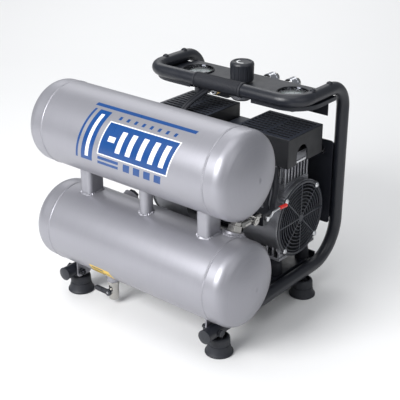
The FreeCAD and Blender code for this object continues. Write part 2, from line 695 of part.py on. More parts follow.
def make_stator():
    bore = rotor_radius + stator_gap
    core = axle(-stator_half, motor_radius - motor_shell_wall, 2 * stator_half)
    winding = axle(-stator_half - winding_reach, motor_radius - winding_inset,
                   2 * (stator_half + winding_reach))
    return joined(core, winding).cut(axle(-motor_half, bore, 2 * motor_half))


def make_rotor():
    return axle(-rotor_half, rotor_radius, 2 * rotor_half).cut(
        axle(-rotor_half, shaft_radius, 2 * rotor_half))


def bearing_x():
    return motor_half + case_back_wall


def make_crankshaft():
    shaft = axle(-shaft_half, shaft_radius, 2 * shaft_half)
    parts = []
    for side in (-1, 1):
        x = side * cylinder_x - eccentric_width / 2
        parts.append(rod(x, axis_y, axis_z + side * crank_throw, X, eccentric_radius,
                         eccentric_width))
        middle = cylinder_x - (eccentric_width + weight_width) / 2
        weight_x = side * middle - weight_width / 2
        weight = rod(weight_x, axis_y, axis_z, X, weight_radius, weight_width)
        reach = weight_radius + bearing_hub
        low = box(weight_x, weight_x + weight_width, axis_y - reach, axis_y + reach,
                  axis_z - reach, axis_z + reach)
        low.translate(Vec(0, 0, -side * weight_drop))
        hub = rod(weight_x, axis_y, axis_z, X, weight_hub, weight_width)
        parts.append(joined(weight.common(low), hub))
    return joined(shaft, *parts)


def make_bearings():
    bearing = ring(bearing_x(), axis_y, axis_z, X, bearing_radius,
                   shaft_radius + running_fit, bearing_width)
    grooves = []
    for x in (bearing_x(), bearing_x() + bearing_width - bearing_groove):
        grooves.append(ring(x, axis_y, axis_z, X, bearing_groove_outer, bearing_groove_inner,
                            bearing_groove))
    return both(bearing.cut(grooves))


def make_crankcases():
    start = motor_half
    bell = axle(start, case_radius, case_end - start)
    seat = box(start, cylinder_x + cylinder_block,
               axis_y - cylinder_block, axis_y + cylinder_block, axis_z + case_radius / 2,
               cylinder_bottom)
    solid = [seat, axle(case_end - case_rim, case_rim_radius, case_rim)]
    for y in (-screw_y, screw_y):
        for z in (-screw_z, screw_z):
            solid.append(rod(case_end - screw_boss_length, axis_y + y, axis_z + z, X,
                             screw_boss, screw_boss_length))
    for y in mount_y:
        solid.append(box(mount_x - pad_half_x, mount_x + pad_half_x, y - pad_half_y,
                         y + pad_half_y, pad_bottom, pad_bottom + pad_thickness))
        for step in (-1, 0, 1):
            x = mount_x + step * rib_pitch - rib / 2
            solid.append(box(x, x + rib, y - rib_half, y + rib_half, pad_bottom, rib_top))
    bell = joined(bell, *solid)
    cavity = axle(start + case_back_wall, case_radius - case_wall, case_end - start)
    hub = axle(start, bearing_radius + bearing_hub, case_back_wall + bearing_width + 2)
    bell = bell.cut(cavity).fuse(hub)
    cuts = [axle(bearing_x(), bearing_radius, bearing_width + bearing_hub),
            axle(start, shaft_radius + 2, case_back_wall),
            rod(cylinder_x, axis_y, axis_z + case_radius / 2, Z, cylinder_bore + free_gap,
                case_radius)]
    for y in mount_y:
        cuts.append(rod(mount_x, y, pad_bottom, Z, bolt_radius, pad_thickness))
    for y in (-screw_y, screw_y):
        for z in (-screw_z, screw_z):
            cuts.append(rod(case_end - screw_length - 1, axis_y + y, axis_z + z, X,
                            screw_radius, screw_length + 1))
    for turn in (60, 120, 180, 240, 300):
        window = rod(start, axis_y, axis_z + case_window, X, case_window_radius, case_back_wall)
        window.rotate(Vec(0, axis_y, axis_z), X, turn)
        cuts.append(window)
    return both(bell.cut(cuts).removeSplitter())


def make_cylinders():
    half = cylinder_block - 1
    block = box(cylinder_x - half, cylinder_x + half, axis_y - half, axis_y + half,
                cylinder_bottom, cylinder_top)
    cuts = [rod(cylinder_x, axis_y, cylinder_bottom, Z, cylinder_bore,
                cylinder_top - cylinder_bottom)]
    gap, depth, foot = fin_gap / 2, fin_depth, cylinder_bottom + cylinder_foot
    reach = int((half - gap) / fin_pitch)
    for step in range(-reach, reach + 1):
        for side in (-1, 1):
            x, y = cylinder_x + step * fin_pitch, axis_y + side * half
            cuts.append(box(x - gap, x + gap, y - depth, y + depth, foot, cylinder_top))
            x, y = cylinder_x + side * half, axis_y + step * fin_pitch
            cuts.append(box(x - depth, x + depth, y - gap, y + gap, foot, cylinder_top))
    return both(block.cut(cuts))


def make_valve_plates():
    half = cylinder_block + valve_plate_lip
    plate = box(cylinder_x - half, cylinder_x + half, axis_y - half, axis_y + half,
                cylinder_top, cylinder_top + valve_plate)
    ports = []
    for side in (-1, 1):
        ports.append(rod(cylinder_x + side * valve_port_x, axis_y, cylinder_top, Z,
                         valve_port_radius, valve_plate))
    return both(plate.cut(ports))


def make_cylinder_heads():
    bottom = cylinder_top + valve_plate
    head = box(cylinder_x - head_half, cylinder_x + head_half, axis_y - head_half,
               axis_y + head_half, bottom, bottom + head_height)
    cuts = []
    inner = head_half - head_wall
    for side in (-1, 1):
        x = cylinder_x + side * (inner / 2 + 1)
        cuts.append(box(x - inner / 2 + 1, x + inner / 2 - 1, axis_y - inner, axis_y + inner,
                        bottom, bottom + head_chamber))
    gap = head_fin_gap / 2
    reach = int((head_half - gap) / head_fin_pitch)
    for step in range(-reach, reach + 1):
        x = cylinder_x + step * head_fin_pitch
        cuts.append(box(x - gap, x + gap, axis_y - head_half, axis_y + head_half,
                        bottom + head_height - head_fin_depth, bottom + head_height))
    head = head.cut(cuts)
    outlet = box(outlet_x() - outlet_half, outlet_x() + outlet_half, outlet_y() - hose_radius,
                 axis_y - head_half, bottom, bottom + outlet_height)
    return both(joined(head, outlet))


def outlet_x():
    return cylinder_x + head_half - outlet_inset


def outlet_y():
    return shroud_front + shroud_wall + hose_radius + free_gap


def make_pistons():
    """Each piston and its rod are one piece; the big end is opened wide round its eccentric.
    The right piston rests at the top of its stroke and the left one at the bottom."""
    pistons = []
    big_end = 2 * crank_throw + eccentric_radius + 1
    for side in (-1, 1):
        x = side * cylinder_x
        lift = Vec(0, 0, side * crank_throw)
        eye = ring(x - rod_depth / 2, axis_y, axis_z, X, big_end + rod_eye, big_end, rod_depth)
        shank = box(x - rod_depth / 2, x + rod_depth / 2, axis_y - rod_width / 2,
                    axis_y + rod_width / 2, axis_z + big_end + rod_eye / 2, piston_z)
        crown = rod(x, axis_y, piston_z, Z, piston_radius, piston_height)
        groove = ring(x, axis_y, piston_z + 2 * piston_groove, Z, piston_radius + 1,
                      piston_radius - piston_groove_depth, piston_groove)
        pistons.append(joined(eye, shank, crown).cut(groove).translated(lift))
    return pistons


def make_fans():
    """Each fan blows inwards over its cylinder; the left one is the right one turned round."""
    hub = axle(fan_x - fan_hub_half, fan_hub, 2 * fan_hub_half)
    blades = []
    for step in range(blade_count):
        blade = box(-blade_chord / 2, blade_chord / 2, -blade_thickness / 2,
                    blade_thickness / 2, fan_hub / 2, fan_radius + blade_chord)
        blade.rotate(Vec(0, 0, 0), Z, blade_pitch)
        blade.translate(Vec(fan_x, axis_y, axis_z))
        blade.rotate(Vec(0, axis_y, axis_z), X, 360.0 * step / blade_count)
        blades.append(blade)
    sweep = axle(fan_x - fan_hub_half, fan_radius, 2 * fan_hub_half)
    fan = joined(hub, *[blade.common(sweep) for blade in blades])
    return both(fan.cut(axle(0, shaft_radius, shaft_half)))


def make_grilles():
    x = case_end
    pitch = (grille_radius - grille_hub) / grille_count
    parts = []
    for step in range(1, grille_count + 1):
        outer = grille_hub + step * pitch
        parts.append(axle(x, outer, grille_depth).cut(axle(x, outer - grille_ring, grille_depth)))
    for turn in range(0, 360, 45):
        spoke_bar = box(x, x + grille_depth, axis_y - grille_spoke / 2,
                        axis_y + grille_spoke / 2, axis_z + grille_hub / 2,
                        axis_z + grille_radius - grille_ring / 2)
        spoke_bar.rotate(Vec(0, axis_y, axis_z), X, turn)
        parts.append(spoke_bar)
    for y in (-screw_y, screw_y):
        for z in (-screw_z, screw_z):
            parts.append(rod(x, axis_y + y, axis_z + z, X, grille_ear, grille_depth))
    grille = joined(axle(x, grille_hub, grille_depth), *parts)
    holes = [rod(x, axis_y + y, axis_z + z, X, screw_radius, grille_depth)
             for y in (-screw_y, screw_y) for z in (-screw_z, screw_z)]
    return both(grille.cut(holes))


def make_grille_screws():
    screws = []
    face = case_end + grille_depth
    for y in (-screw_y, screw_y):
        for z in (-screw_z, screw_z):
            head = dome(face, axis_y + y, axis_z + z, X, screw_head, screw_head_height)
            shank = rod(case_end - screw_length, axis_y + y, axis_z + z, X, screw_radius,
                        face - case_end + screw_length)
            screws += both(joined(head, shank).cut(cross_recess(axis_y + y, axis_z + z)))
    return screws


def cross_recess(y, z):
    """Two crossed slots in a screw's head, for a cross-head driver."""
    top = case_end + grille_depth + screw_head_height
    long, wide = recess_length / 2, recess_width / 2
    return [box(top - recess_depth, top, y - long, y + long, z - wide, z + wide),
            box(top - recess_depth, top, y - wide, y + wide, z - long, z + long)]


def make_rubber_mounts():
    height = pad_bottom - tray_top
    outline = [(bolt_radius, 0), (mount_base, 0), (mount_base, mount_rim),
               (mount_waist + 2, height * 0.4), (mount_waist, height * 0.7),
               (mount_top, height - mount_rim), (mount_top, height), (bolt_radius, height)]
    mounts = []
    for y in mount_y:
        rubber = turned(outline, mount_x, y, tray_top)
        stud = rod(mount_x, y, tray_top - tray_sheet - mount_stud, Z, bolt_radius,
                   height + tray_sheet + mount_stud + pad_thickness)
        mounts += both(rubber)
        mounts += both(stud)
    return mounts


def make_shrouds():
    shell = box(shroud_in, shroud_out, shroud_front, shroud_back, shroud_bottom, shroud_top)
    edges = [edge for edge in shell.Edges
             if edge.CenterOfMass.z > shroud_bottom + shroud_wall]
    shell = shell.makeFillet(shroud_edge, edges)
    wall = shroud_wall
    cuts = [box(shroud_in + wall, shroud_out - wall, shroud_front + wall, shroud_back - wall,
                shroud_bottom, shroud_top - wall)]
    run = shroud_back - shroud_front - 2 * slot_margin
    pitch = run / slot_rows
    middle = (shroud_in + shroud_out) / 2
    for row in range(slot_rows):
        y = shroud_front + slot_margin + (row + 0.5) * pitch
        for x0, x1 in ((shroud_in + slot_margin, middle - slot_rib / 2),
                       (middle + slot_rib / 2, shroud_out - slot_margin)):
            cuts.append(box(x0, x1, y - slot_width / 2, y + slot_width / 2,
                            shroud_top - 2 * wall, shroud_top + wall))
    cuts.append(box(shroud_out - 2 * wall, shroud_out + wall, arch_y - arch_half,
                    arch_y + arch_half, shroud_bottom, arch_top - arch_half))
    cuts.append(rod(shroud_out - 2 * wall, arch_y, arch_top - arch_half, X, arch_half, 3 * wall))
    cuts.append(rod(shroud_in - wall, outlet_y(), crossover_z, X,
                    crossover_radius + free_gap, 3 * wall))
    return both(shell.cut(cuts))


def make_crossover_tube():
    start = outlet_x() - outlet_half
    return rod(-start, outlet_y(), crossover_z, X, crossover_radius, 2 * start)


def make_middle_cover():
    wall = cover_wall
    cover = box(-cover_half, cover_half, cover_front, cover_back, cover_bottom, cover_top)
    edges = [edge for edge in cover.Edges if edge.CenterOfMass.z > cover_bottom + cover_wall]
    cover = cover.makeFillet(cover_edge, edges)
    hollow = box(-cover_half + wall, cover_half - wall, cover_front + wall, cover_back - wall,
                 cover_bottom, cover_top - wall)
    cuts = [hollow, axle(-cover_half, motor_radius, 2 * cover_half),
            rod(-cover_half, outlet_y(), crossover_z, X, crossover_radius + free_gap,
                2 * cover_half)]
    return cover.cut(cuts)


# ---------------------------------------------------------------- console
def console_outline(inset, z, height):
    """Flat plate under the arms: round front corners under the tube's bends."""
    side = console_side - inset
    front = handle_y + sheet / 2 + inset
    radius = console_corner - inset
    turn = radius * (1 - math.sqrt(0.5))
    waist = console_waist_x - inset
    waist_y = console_waist_y - inset
    back = console_back - inset
    corner = front + radius
    points = [Vec(side - radius, front, z), Vec(side, corner, z), Vec(side, waist_y, z),
              Vec(waist, waist_y, z), Vec(waist, back, z), Vec(-waist, back, z),
              Vec(-waist, waist_y, z), Vec(-side, waist_y, z), Vec(-side, corner, z),
              Vec(-side + radius, front, z)]
    edges = [Part.Arc(points[0], Vec(side - turn, front + turn, z), points[1]).toShape()]
    for first, last in zip(points[1:-2], points[2:-1]):
        edges.append(Part.LineSegment(first, last).toShape())
    edges.append(Part.Arc(points[-2], Vec(-side + turn, front + turn, z), points[-1]).toShape())
    edges.append(Part.LineSegment(points[-1], points[0]).toShape())
    return Part.Face(Part.Wire(edges)).extrude(Vec(0, 0, height))


def make_console_plate():
    bottom = console_top - console_rim
    plate = console_outline(0, bottom, console_rim)
    plate = plate.cut(console_outline(sheet, bottom, console_rim - sheet))
    flange_half = console_waist_x - flange_margin
    flange = box(-flange_half, flange_half, console_back - sheet, console_back,
                 flange_bottom, console_top)
    plate = joined(plate, flange)
    cuts = [box(-finger_half, finger_half, handle_y, finger_back, bottom, console_top),
            rod(0, knob_y, bottom, Z, bonnet_radius + free_gap, 2 * console_rim)]
    for side in (-1, 1):
        cuts.append(rod(side * gauge_x, gauge_y, bottom, Z, gauge_radius, 2 * console_rim))
    for y in console_bolt_y:
        cuts += both(console_bolt_hole(y))
    for x in coupler_x:
        cuts.append(rod(x, console_back - sheet, coupler_z, Y, nipple_radius, sheet))
    cuts.append(rocker_opening(console_back - sheet, console_back))
    return plate.cut(cuts)


def rocker_opening(front, back):
    half = rocker_half_width + rocker_side_gap
    rise = rocker_half + rocker_gap
    return box(rocker_x - half, rocker_x + half, front, back, rocker_z - rise, rocker_z + rise)


def make_gauge_cases():
    outline = [(0, -gauge_depth), (gauge_radius, -gauge_depth), (gauge_radius, 0),
               (bezel_radius, 0), (bezel_radius, bezel_height - bezel_slope),
               (bezel_radius - bezel_slope, bezel_height),
               (bezel_radius - bezel_lip, bezel_height),
               (bezel_radius - bezel_lip - bezel_slope, 0), (gauge_radius - gauge_wall, 0),
               (gauge_radius - gauge_wall, -gauge_depth + gauge_wall),
               (0, -gauge_depth + gauge_wall)]
    case = turned(outline, gauge_x, gauge_y, console_top)
    stem = hexagon(gauge_x, gauge_y, console_top - gauge_depth - gauge_stem, Z,
                   gauge_stem_flats, gauge_stem)
    return both(joined(case, stem))


def make_gauge_dials():
    z = console_top - dial_drop
    dial = rod(gauge_x, gauge_y, z - dial_thickness, Z, gauge_radius - gauge_wall, dial_thickness)
    return both(dial.cut(rod(gauge_x, gauge_y, z - dial_thickness, Z,
                             pivot_radius + running_fit, dial_thickness)))


def make_gauge_lenses():
    return both(rod(gauge_x, gauge_y, console_top - lens_thickness, Z,
                    gauge_radius - gauge_wall, lens_thickness))


def make_needle(x):
    """Needle at zero: it points to the front left, and sweeps clockwise."""
    z = console_top - dial_drop + needle_gap
    tip, tail = needle_tip_half, needle_tail_half
    corners = [Vec(-tip, needle_length, 0), Vec(tip, needle_length, 0),
               Vec(tail, -needle_tail, 0), Vec(-tail, -needle_tail, 0)]
    blade = Part.Face(Part.makePolygon(corners + corners[:1])).extrude(Z * needle_thickness)
    blade.translate(Vec(x, gauge_y, z))
    blade.rotate(Vec(x, gauge_y, z), Z, needle_zero)
    hub = rod(x, gauge_y, z, Z, needle_hub, needle_hub_height)
    pin = rod(x, gauge_y, console_top - dial_drop - pivot_drop, Z, pivot_radius, pivot_length)
    return joined(blade, hub, pin)


def make_regulator_body():
    top = console_top - sheet
    low, chamfer, shoulder_drop = regulator_bottom - top, regulator_chamfer, regulator_shoulder
    body = turned([(0, low), (regulator_radius - chamfer, low), (regulator_radius, low + chamfer),
                   (regulator_radius, -shoulder_drop), (regulator_radius - shoulder_drop, 0),
                   (bonnet_radius, 0), (bonnet_radius, bonnet_top - top), (0, bonnet_top - top)],
                  0, knob_y, top)
    stub = rod(0, knob_y, coupler_z, Y, nipple_radius, manifold_front - knob_y)
    body = joined(body, stub)
    chamber = rod(0, knob_y, regulator_bottom + chamfer, Z, regulator_radius - regulator_wall,
                  chamber_height)
    bore_z = regulator_bottom + spindle_bore_start
    bore = rod(0, knob_y, bore_z, Z, spindle_radius + running_fit, bonnet_top - bore_z)
    return body.cut([chamber, bore])


def make_regulator_spindle():
    """Threaded spindle that the knob winds down onto the regulator's spring."""
    stem = rod(0, knob_y, spindle_bottom, Z, spindle_radius, spindle_length)
    button = rod(0, knob_y, spindle_bottom - button_drop, Z, spring_button, button_height)
    return joined(stem, button)


def make_regulator_knob():
    ceiling = knob_base + knob_height - knob_ceiling
    rim = knob_radius - knob_rim
    dish = rim - 2 * knob_dish
    outside = turned([(0, 0), (knob_bottom_radius, 0), (knob_bottom_radius + 0.6, 1),
                      (knob_radius, knob_height - knob_crown),
                      (knob_radius - knob_chamfer, knob_height - 2),
                      (rim, knob_height), (dish, knob_height),
                      (dish - 1, knob_height - knob_dish),
                      (0, knob_height - knob_dish)], 0, knob_y, knob_base)
    cuts = [rod(0, knob_y, knob_base, Z, bonnet_radius + free_gap, ceiling - knob_base)]
    lean = math.degrees(math.atan2(knob_radius - knob_bottom_radius, knob_height))
    for step in range(knob_flutes):
        flute = rod(knob_bottom_radius + 0.9 * flute_radius, 0, flute_start, Z, flute_radius,
                    knob_height - flute_start - flute_end)
        flute.rotate(Vec(knob_bottom_radius, 0, flute_start), Y, lean)
        flute.rotate(Vec(0, 0, 0), Z, 360.0 * step / knob_flutes)
        flute.translate(Vec(0, knob_y, knob_base))
        cuts.append(flute)
    knob = outside.cut(cuts)
    boss_z = bonnet_top + knob_boss_gap
    boss = rod(0, knob_y, boss_z, Z, knob_boss, ceiling - boss_z + 1)
    hole = rod(0, knob_y, boss_z, Z, spindle_radius + running_fit, ceiling - boss_z + 1)
    return joined(knob, boss).cut(hole)


def make_manifold():
    top = console_top - sheet
    block = box(manifold_left, manifold_right, manifold_front, console_back - sheet,
                top - manifold_height, top)
    gallery = rod(manifold_left, gallery_y(), coupler_z, X, gallery_radius,
                  manifold_right - manifold_left - gallery_end)
    ports = [rod(x, console_back - sheet - port_depth, coupler_z, Y, nipple_radius, port_depth)
             for x in coupler_x]
    ports.append(rod(0, manifold_front, coupler_z, Y, gallery_radius, port_depth))
    return block.cut(ports + [gallery])


def gallery_y():
    return (manifold_front + console_back) / 2 - gallery_drop


def make_pressure_switch():
    back = console_back - sheet
    case = box(switch_left, switch_right, switch_front, back, switch_bottom,
               console_top - sheet)
    edges = [edge for edge in case.Edges if abs(edge.tangentAt(0).z) > 0.9]
    case = case.makeFillet(switch_corner, edges)
    nipple = rod(switch_right, gallery_y(), coupler_z, X, switch_nipple,
                 manifold_left - switch_right)
    case = joined(case, nipple)
    pocket = rocker_opening(back - rocker_pocket, back)
    pin_half = rocker_half_width + rocker_pin_reach + rocker_pin_end
    pins = rod(rocker_x - pin_half, rocker_y(), rocker_z, X, rocker_pin + running_fit,
               2 * pin_half)
    wall = switch_wall
    inside = box(switch_left + wall, switch_right - wall, switch_front + wall,
                 back - rocker_wall, switch_bottom + wall, console_top - sheet - switch_roof)
    return case.cut([pocket, pins, inside])


def rocker_y():
    return console_back - sheet - rocker_drop


def make_rocker_switch():
    """Rocker lying at off: its upper half stands proud."""
    half, inner = rocker_half, rocker_half - rocker_taper
    corners = [Vec(0, -rocker_depth, -inner), Vec(0, rocker_bulge, -half),
               Vec(0, rocker_hollow, 0), Vec(0, rocker_bulge, half), Vec(0, -rocker_depth, inner)]
    face = Part.Face(Part.makePolygon(corners + corners[:1]))
    rocker = face.extrude(Vec(2 * rocker_half_width, 0, 0))
    rocker.translate(Vec(-rocker_half_width, 0, 0))
    pin_half = rocker_half_width + rocker_pin_reach
    pin = rod(-pin_half, 0, 0, X, rocker_pin, 2 * pin_half)
    rocker = joined(rocker, pin)
    rocker.rotate(Vec(0, 0, 0), X, -rocker_tilt)
    rocker.translate(Vec(rocker_x, rocker_y(), rocker_z))
    return rocker


def make_safety_valve():
    """Spring-loaded relief valve screwed into the switch's front, with a pull pin."""
    body = hexagon(safety_x, switch_front - safety_hex, safety_z, Y, safety_flats, safety_hex)
    start = switch_front - safety_reach
    barrel = rod(safety_x, start, safety_z, Y, safety_radius, safety_reach - safety_hex)
    bore = rod(safety_x, start, safety_z, Y, safety_pin + running_fit,
               safety_reach - safety_stop_height - 0.5)
    return joined(body, barrel).cut(bore)


def make_safety_ring():
    y = switch_front - safety_reach - free_gap
    pin = rod(safety_x, y - 2, safety_z, Y, safety_pin, safety_reach - 6)
    stop = rod(safety_x, y - safety_stop_height, safety_z, Y, safety_stop, safety_stop_height)
    loop = Part.makeTorus(loop_radius, loop_wire, Vec(safety_x, y - loop_radius - 2, safety_z), Z)
    return joined(pin, stop, loop)


def make_coupler_body(x):
    start = console_back
    root = start - sheet - nipple_depth
    nipple = rod(x, root, coupler_z, Y, nipple_radius, start - root)
    collar = hexagon(x, start, coupler_z, Y, shoulder_flats, shoulder)
    body = rod(x, start + shoulder, coupler_z, Y, coupler_radius, coupler_end - start - shoulder)
    nose_start = sleeve_end + free_gap + nose_gap
    nose = rod(x, nose_start, coupler_z, Y, nose_radius, coupler_end - nose_start)
    coupler = joined(nipple, collar, body, nose)
    bore = rod(x, coupler_end - coupler_bore_depth, coupler_z, Y, coupler_bore,
               coupler_bore_depth)
    passage = rod(x, root, coupler_z, Y, coupler_passage, coupler_end - root)
    return coupler.cut([bore, passage])


def make_coupler_sleeve(x):
    inside, waist, edge = coupler_radius + free_gap, sleeve_radius - sleeve_edge, sleeve_edge
    length = sleeve_end - sleeve_start
    return turned([(inside, 0), (waist, 0), (sleeve_radius, edge), (sleeve_radius, sleeve_ring),
                   (waist, sleeve_ring + 1.5), (waist, sleeve_waist_end),
                   (sleeve_radius, sleeve_waist_end + 1.5), (sleeve_radius, length - edge),
                   (waist, length), (inside, length)],
                  x, sleeve_start, coupler_z, Y)


# ---------------------------------------------------------------- air lines
def make_check_valve():
    y, z = on_tank(tank_radius + boss_height, valve_angle)
    body = hexagon(valve_x, y, z, spoke(), valve_flats, valve_height)
    y, z = on_tank(tank_radius + boss_height + valve_height, valve_angle)
    cap = hexagon(valve_x, y, z, spoke(), cap_flats, cap_height)
    y, z = on_tank(tank_radius + boss_height + valve_height / 2, valve_angle)
    arm = rod(valve_x, y, line_z, Y, arm_radius, tee_y - y)
    nut = hexagon(valve_x, y + line_nut_gap, line_z, Y, line_nut_flats, line_nut)
    valve = joined(body, cap, arm, nut)
    tee = rod(valve_x - tee_half, tee_y, line_z, X, tee_radius, 2 * tee_half)
    cheek = rod(valve_x + tee_half, tee_y, line_z, X, tee_cheek, tee_step)
    screw = dome(valve_x + tee_half + tee_step, tee_y, line_z, X, tee_screw, tee_screw_height)
    tail = rod(valve_x, tee_y, line_z, Y, tail_radius, block_front - tee_y)
    y, z = on_tank(0, valve_angle)
    boss = rod(valve_x, y, z, spoke(), boss_radius, tank_radius + boss_height)
    return joined(valve, tee, cheek, screw, tail).cut(boss)


def make_isolating_valve_body():
    block = box(block_left, block_right, block_front, block_back, block_bottom, block_top)
    edges = [edge for edge in block.Edges if abs(edge.tangentAt(0).y) > 0.9]
    block = block.makeFillet(block_corner, edges)
    return block.cut(rod(block_right - lever_stem_socket, lever_y, lever_z, X,
                         lever_stem + running_fit, lever_stem_socket))


def lever_points():
    x = lever_x
    return [Vec(x, lever_y, lever_z), Vec(x, lever_y + 11, lever_z + 0.5),
            Vec(x, lever_y + 18, lever_z + 7), Vec(x, lever_y + 38, lever_z + 8),
            Vec(x, lever_y + 59, lever_z + 6.5)]


def make_isolating_lever():
    wire = swept(route(lever_points(), [lever_bend, lever_bend, lever_sweep]), lever_wire)
    hub = rod(block_right + free_gap, lever_y, lever_z, X, lever_hub, lever_hub_width)
    stem = rod(block_right - lever_stem_depth, lever_y, lever_z, X, lever_stem,
               lever_stem_depth + 1)
    return joined(wire, hub, stem)


def make_lever_sleeve():
    start, end = lever_points()[-2:]
    way = (end - start).normalize()
    first = start + way * (red_sleeve_start - start.y)
    length = (end - first).Length
    outside = Part.makeCylinder(red_sleeve_radius, length + red_sleeve_end, first, way)
    rounded = outside.makeFillet(red_sleeve_round, outside.Edges)
    bore = Part.makeCylinder(lever_wire, length, first, way)
    return rounded.cut(bore)


def make_discharge_hoses():
    """Two rubber lines from the right head's outlet down to the valve block."""
    end = Vec((block_left + block_right) / 2 - 1, block_back, (block_bottom + block_top) / 2 + 1)
    start = Vec(outlet_x(), outlet_y(), cylinder_top + valve_plate)
    hoses = []
    for side in (-0.5, 0.5):
        shift = Vec(side * hose_pitch, side * hose_pitch * 0.45, 0)
        level = Vec(shift.x, 0, 0)
        hoses.append(hose([start + level, start + level + Vec(0, 0, -22),
                           start + shift + Vec(14, -20, -42), start + shift + Vec(26, -47, -59),
                           end + level + Vec(0, 20, 0), end + level], hose_radius))
    return hoses


def make_control_leads():
    """Two leads from the pressure switch over the left shroud and down to the motor."""
    start = Vec(-65, switch_front, console_top - 21.2)
    end = Vec(gland_x, axis_y - (gland_front + gland_back) / 2, axis_z + gland_top)
    leads = []
    for side in (-0.5, 0.5):
        shift = Vec(side * lead_pitch * 0.9, -side * lead_pitch * 0.45, 0)
        level = Vec(side * lead_pitch, 0, 0)
        leads.append(hose([start + level, start + Vec(0, -20, 0) + level,
                           Vec(-76, 78, 371) + shift, Vec(-88, 53, 352) + shift,
                           Vec(-92, 43, 322) + shift, Vec(-88, 42, 288) + shift,
                           Vec(-70, 50, 262) + shift, end + Vec(0, 0, 23) + shift,
                           end + shift], lead_radius))
    return leads


# ---------------------------------------------------------------- drain valve
def make_drain_valve_body():
    height = drain_boss_bottom - drain_bottom
    body = rod(drain_x, drain_y, drain_bottom, Z, drain_radius, height)
    collar = hexagon(drain_x, drain_y, drain_boss_bottom - drain_collar_drop, Z,
                     drain_collar_flats, drain_collar)
    neck = rod(drain_x, drain_y, drain_stem_z, -Y, drain_neck, drain_radius + drain_neck_reach)
    body = joined(body, collar, neck)
    socket = Part.makeSphere(drain_ball_radius + running_fit, Vec(drain_x, drain_y, drain_stem_z))
    mouth = rod(drain_x, drain_y, drain_bottom, Z, drain_bore, drain_bore_depth)
    passage = rod(drain_x, drain_y, drain_bottom, Z, drain_passage, height)
    stem = rod(drain_x, drain_y, drain_stem_z, -Y, drain_stem + running_fit, 2 * drain_radius)
    return body.cut([socket, mouth, passage, stem])


def make_drain_ball():
    """Ball and stem, shut: the ball's passage lies across the valve."""
    ball = Part.makeSphere(drain_ball_radius, Vec(drain_x, drain_y, drain_stem_z))
    stem = rod(drain_x, drain_y, drain_stem_z, -Y, drain_stem, drain_radius + 9)
    passage = rod(drain_x - drain_ball_radius, drain_y, drain_stem_z, X, drain_ball_passage,
                  2 * drain_ball_radius)
    return joined(ball, stem).cut(passage)


def make_drain_lever():
    front = drain_y - drain_radius - drain_neck_reach - free_gap
    half, thickness = drain_lever_half, drain_lever_thickness
    hub = rod(drain_x, front, drain_stem_z, -Y, drain_lever_hub, thickness)
    blade = box(drain_x - drain_lever_length + half, drain_x, front - thickness, front,
                drain_stem_z - half, drain_stem_z + half)
    tip = rod(drain_x - drain_lever_length + half, front, drain_stem_z, -Y, half, thickness)
    pip = rod(drain_x - lever_pip_x, front - thickness, drain_stem_z, -Y, lever_pip_radius,
              lever_pip)
    lever = joined(hub, blade, tip, pip)
    return lever.cut(rod(drain_x, front, drain_stem_z, -Y, drain_stem, thickness))


# ---------------------------------------------------------------- the whole machine
def main():
    os.makedirs("parts", exist_ok=True)
    export("upper_tank_barrel", make_barrel(upper_tank_z))
    export("lower_tank_barrel", make_barrel(lower_tank_z))
    export("tank_heads", both(make_tank_head(upper_tank_z)) + both(make_tank_head(lower_tank_z)))
    export("tank_posts", make_posts())
    export("tank_link_pipe", make_link_pipe())
    export("tank_lugs", make_lugs())
    export("tank_bosses", make_bosses())

    export("side_tubes", make_side_tubes())
    export("handle_tube", make_handle_tube())
    export("handle_grip", make_grip())
    export("tube_plugs", make_plugs())
    export("base_tray", make_base_tray())
    export("rear_guard", make_rear_guard())
    export("dome_bolts", make_dome_bolts())
    export("hex_bolts", make_hex_bolts())
    export("rubber_feet", make_feet())

    export("motor_shell", make_motor_shell())
    export("stator", make_stator())
    export("rotor", make_rotor())
    export("crankshaft", make_crankshaft())
    export("bearings", make_bearings())
    export("crankcases", make_crankcases())
    export("cylinders", make_cylinders())
    export("valve_plates", make_valve_plates())
    export("cylinder_heads", make_cylinder_heads())
    pistons = make_pistons()
    export("left_piston", pistons[0])
    export("right_piston", pistons[1])
    export("fans", make_fans())
    export("fan_grilles", make_grilles())
    export("grille_screws", make_grille_screws())
    export("rubber_mounts", make_rubber_mounts())
    export("shrouds", make_shrouds())
    export("crossover_tube", make_crossover_tube())
    export("middle_cover", make_middle_cover())

    export("console_plate", make_console_plate())
    export("gauge_cases", make_gauge_cases())
    export("gauge_dials", make_gauge_dials())
    export("gauge_lenses", make_gauge_lenses())
    export("left_gauge_needle", make_needle(-gauge_x))
    export("right_gauge_needle", make_needle(gauge_x))
    export("regulator_body", make_regulator_body())
    export("regulator_spindle", make_regulator_spindle())
    export("regulator_knob", make_regulator_knob())
    export("manifold", make_manifold())
    export("pressure_switch", make_pressure_switch())
    export("rocker_switch", make_rocker_switch())
    export("safety_valve", make_safety_valve())
    export("safety_valve_ring", make_safety_ring())
    export("coupler_bodies", [make_coupler_body(x) for x in coupler_x])
    export("left_coupler_sleeve", make_coupler_sleeve(coupler_x[0]))
    export("right_coupler_sleeve", make_coupler_sleeve(coupler_x[1]))

    export("check_valve", make_check_valve())
    export("isolating_valve_body", make_isolating_valve_body())
    export("isolating_lever", make_isolating_lever())
    export("lever_sleeve", make_lever_sleeve())
    export("discharge_hoses", make_discharge_hoses())
    export("control_leads", make_control_leads())
    export("drain_valve_body", make_drain_valve_body())
    export("drain_ball", make_drain_ball())
    export("drain_lever", make_drain_lever())


main()
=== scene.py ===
import json
import math

import bmesh
import bpy
from bpy.props import FloatProperty, FloatVectorProperty, IntProperty, PointerProperty
from mathutils import Matrix, Vector


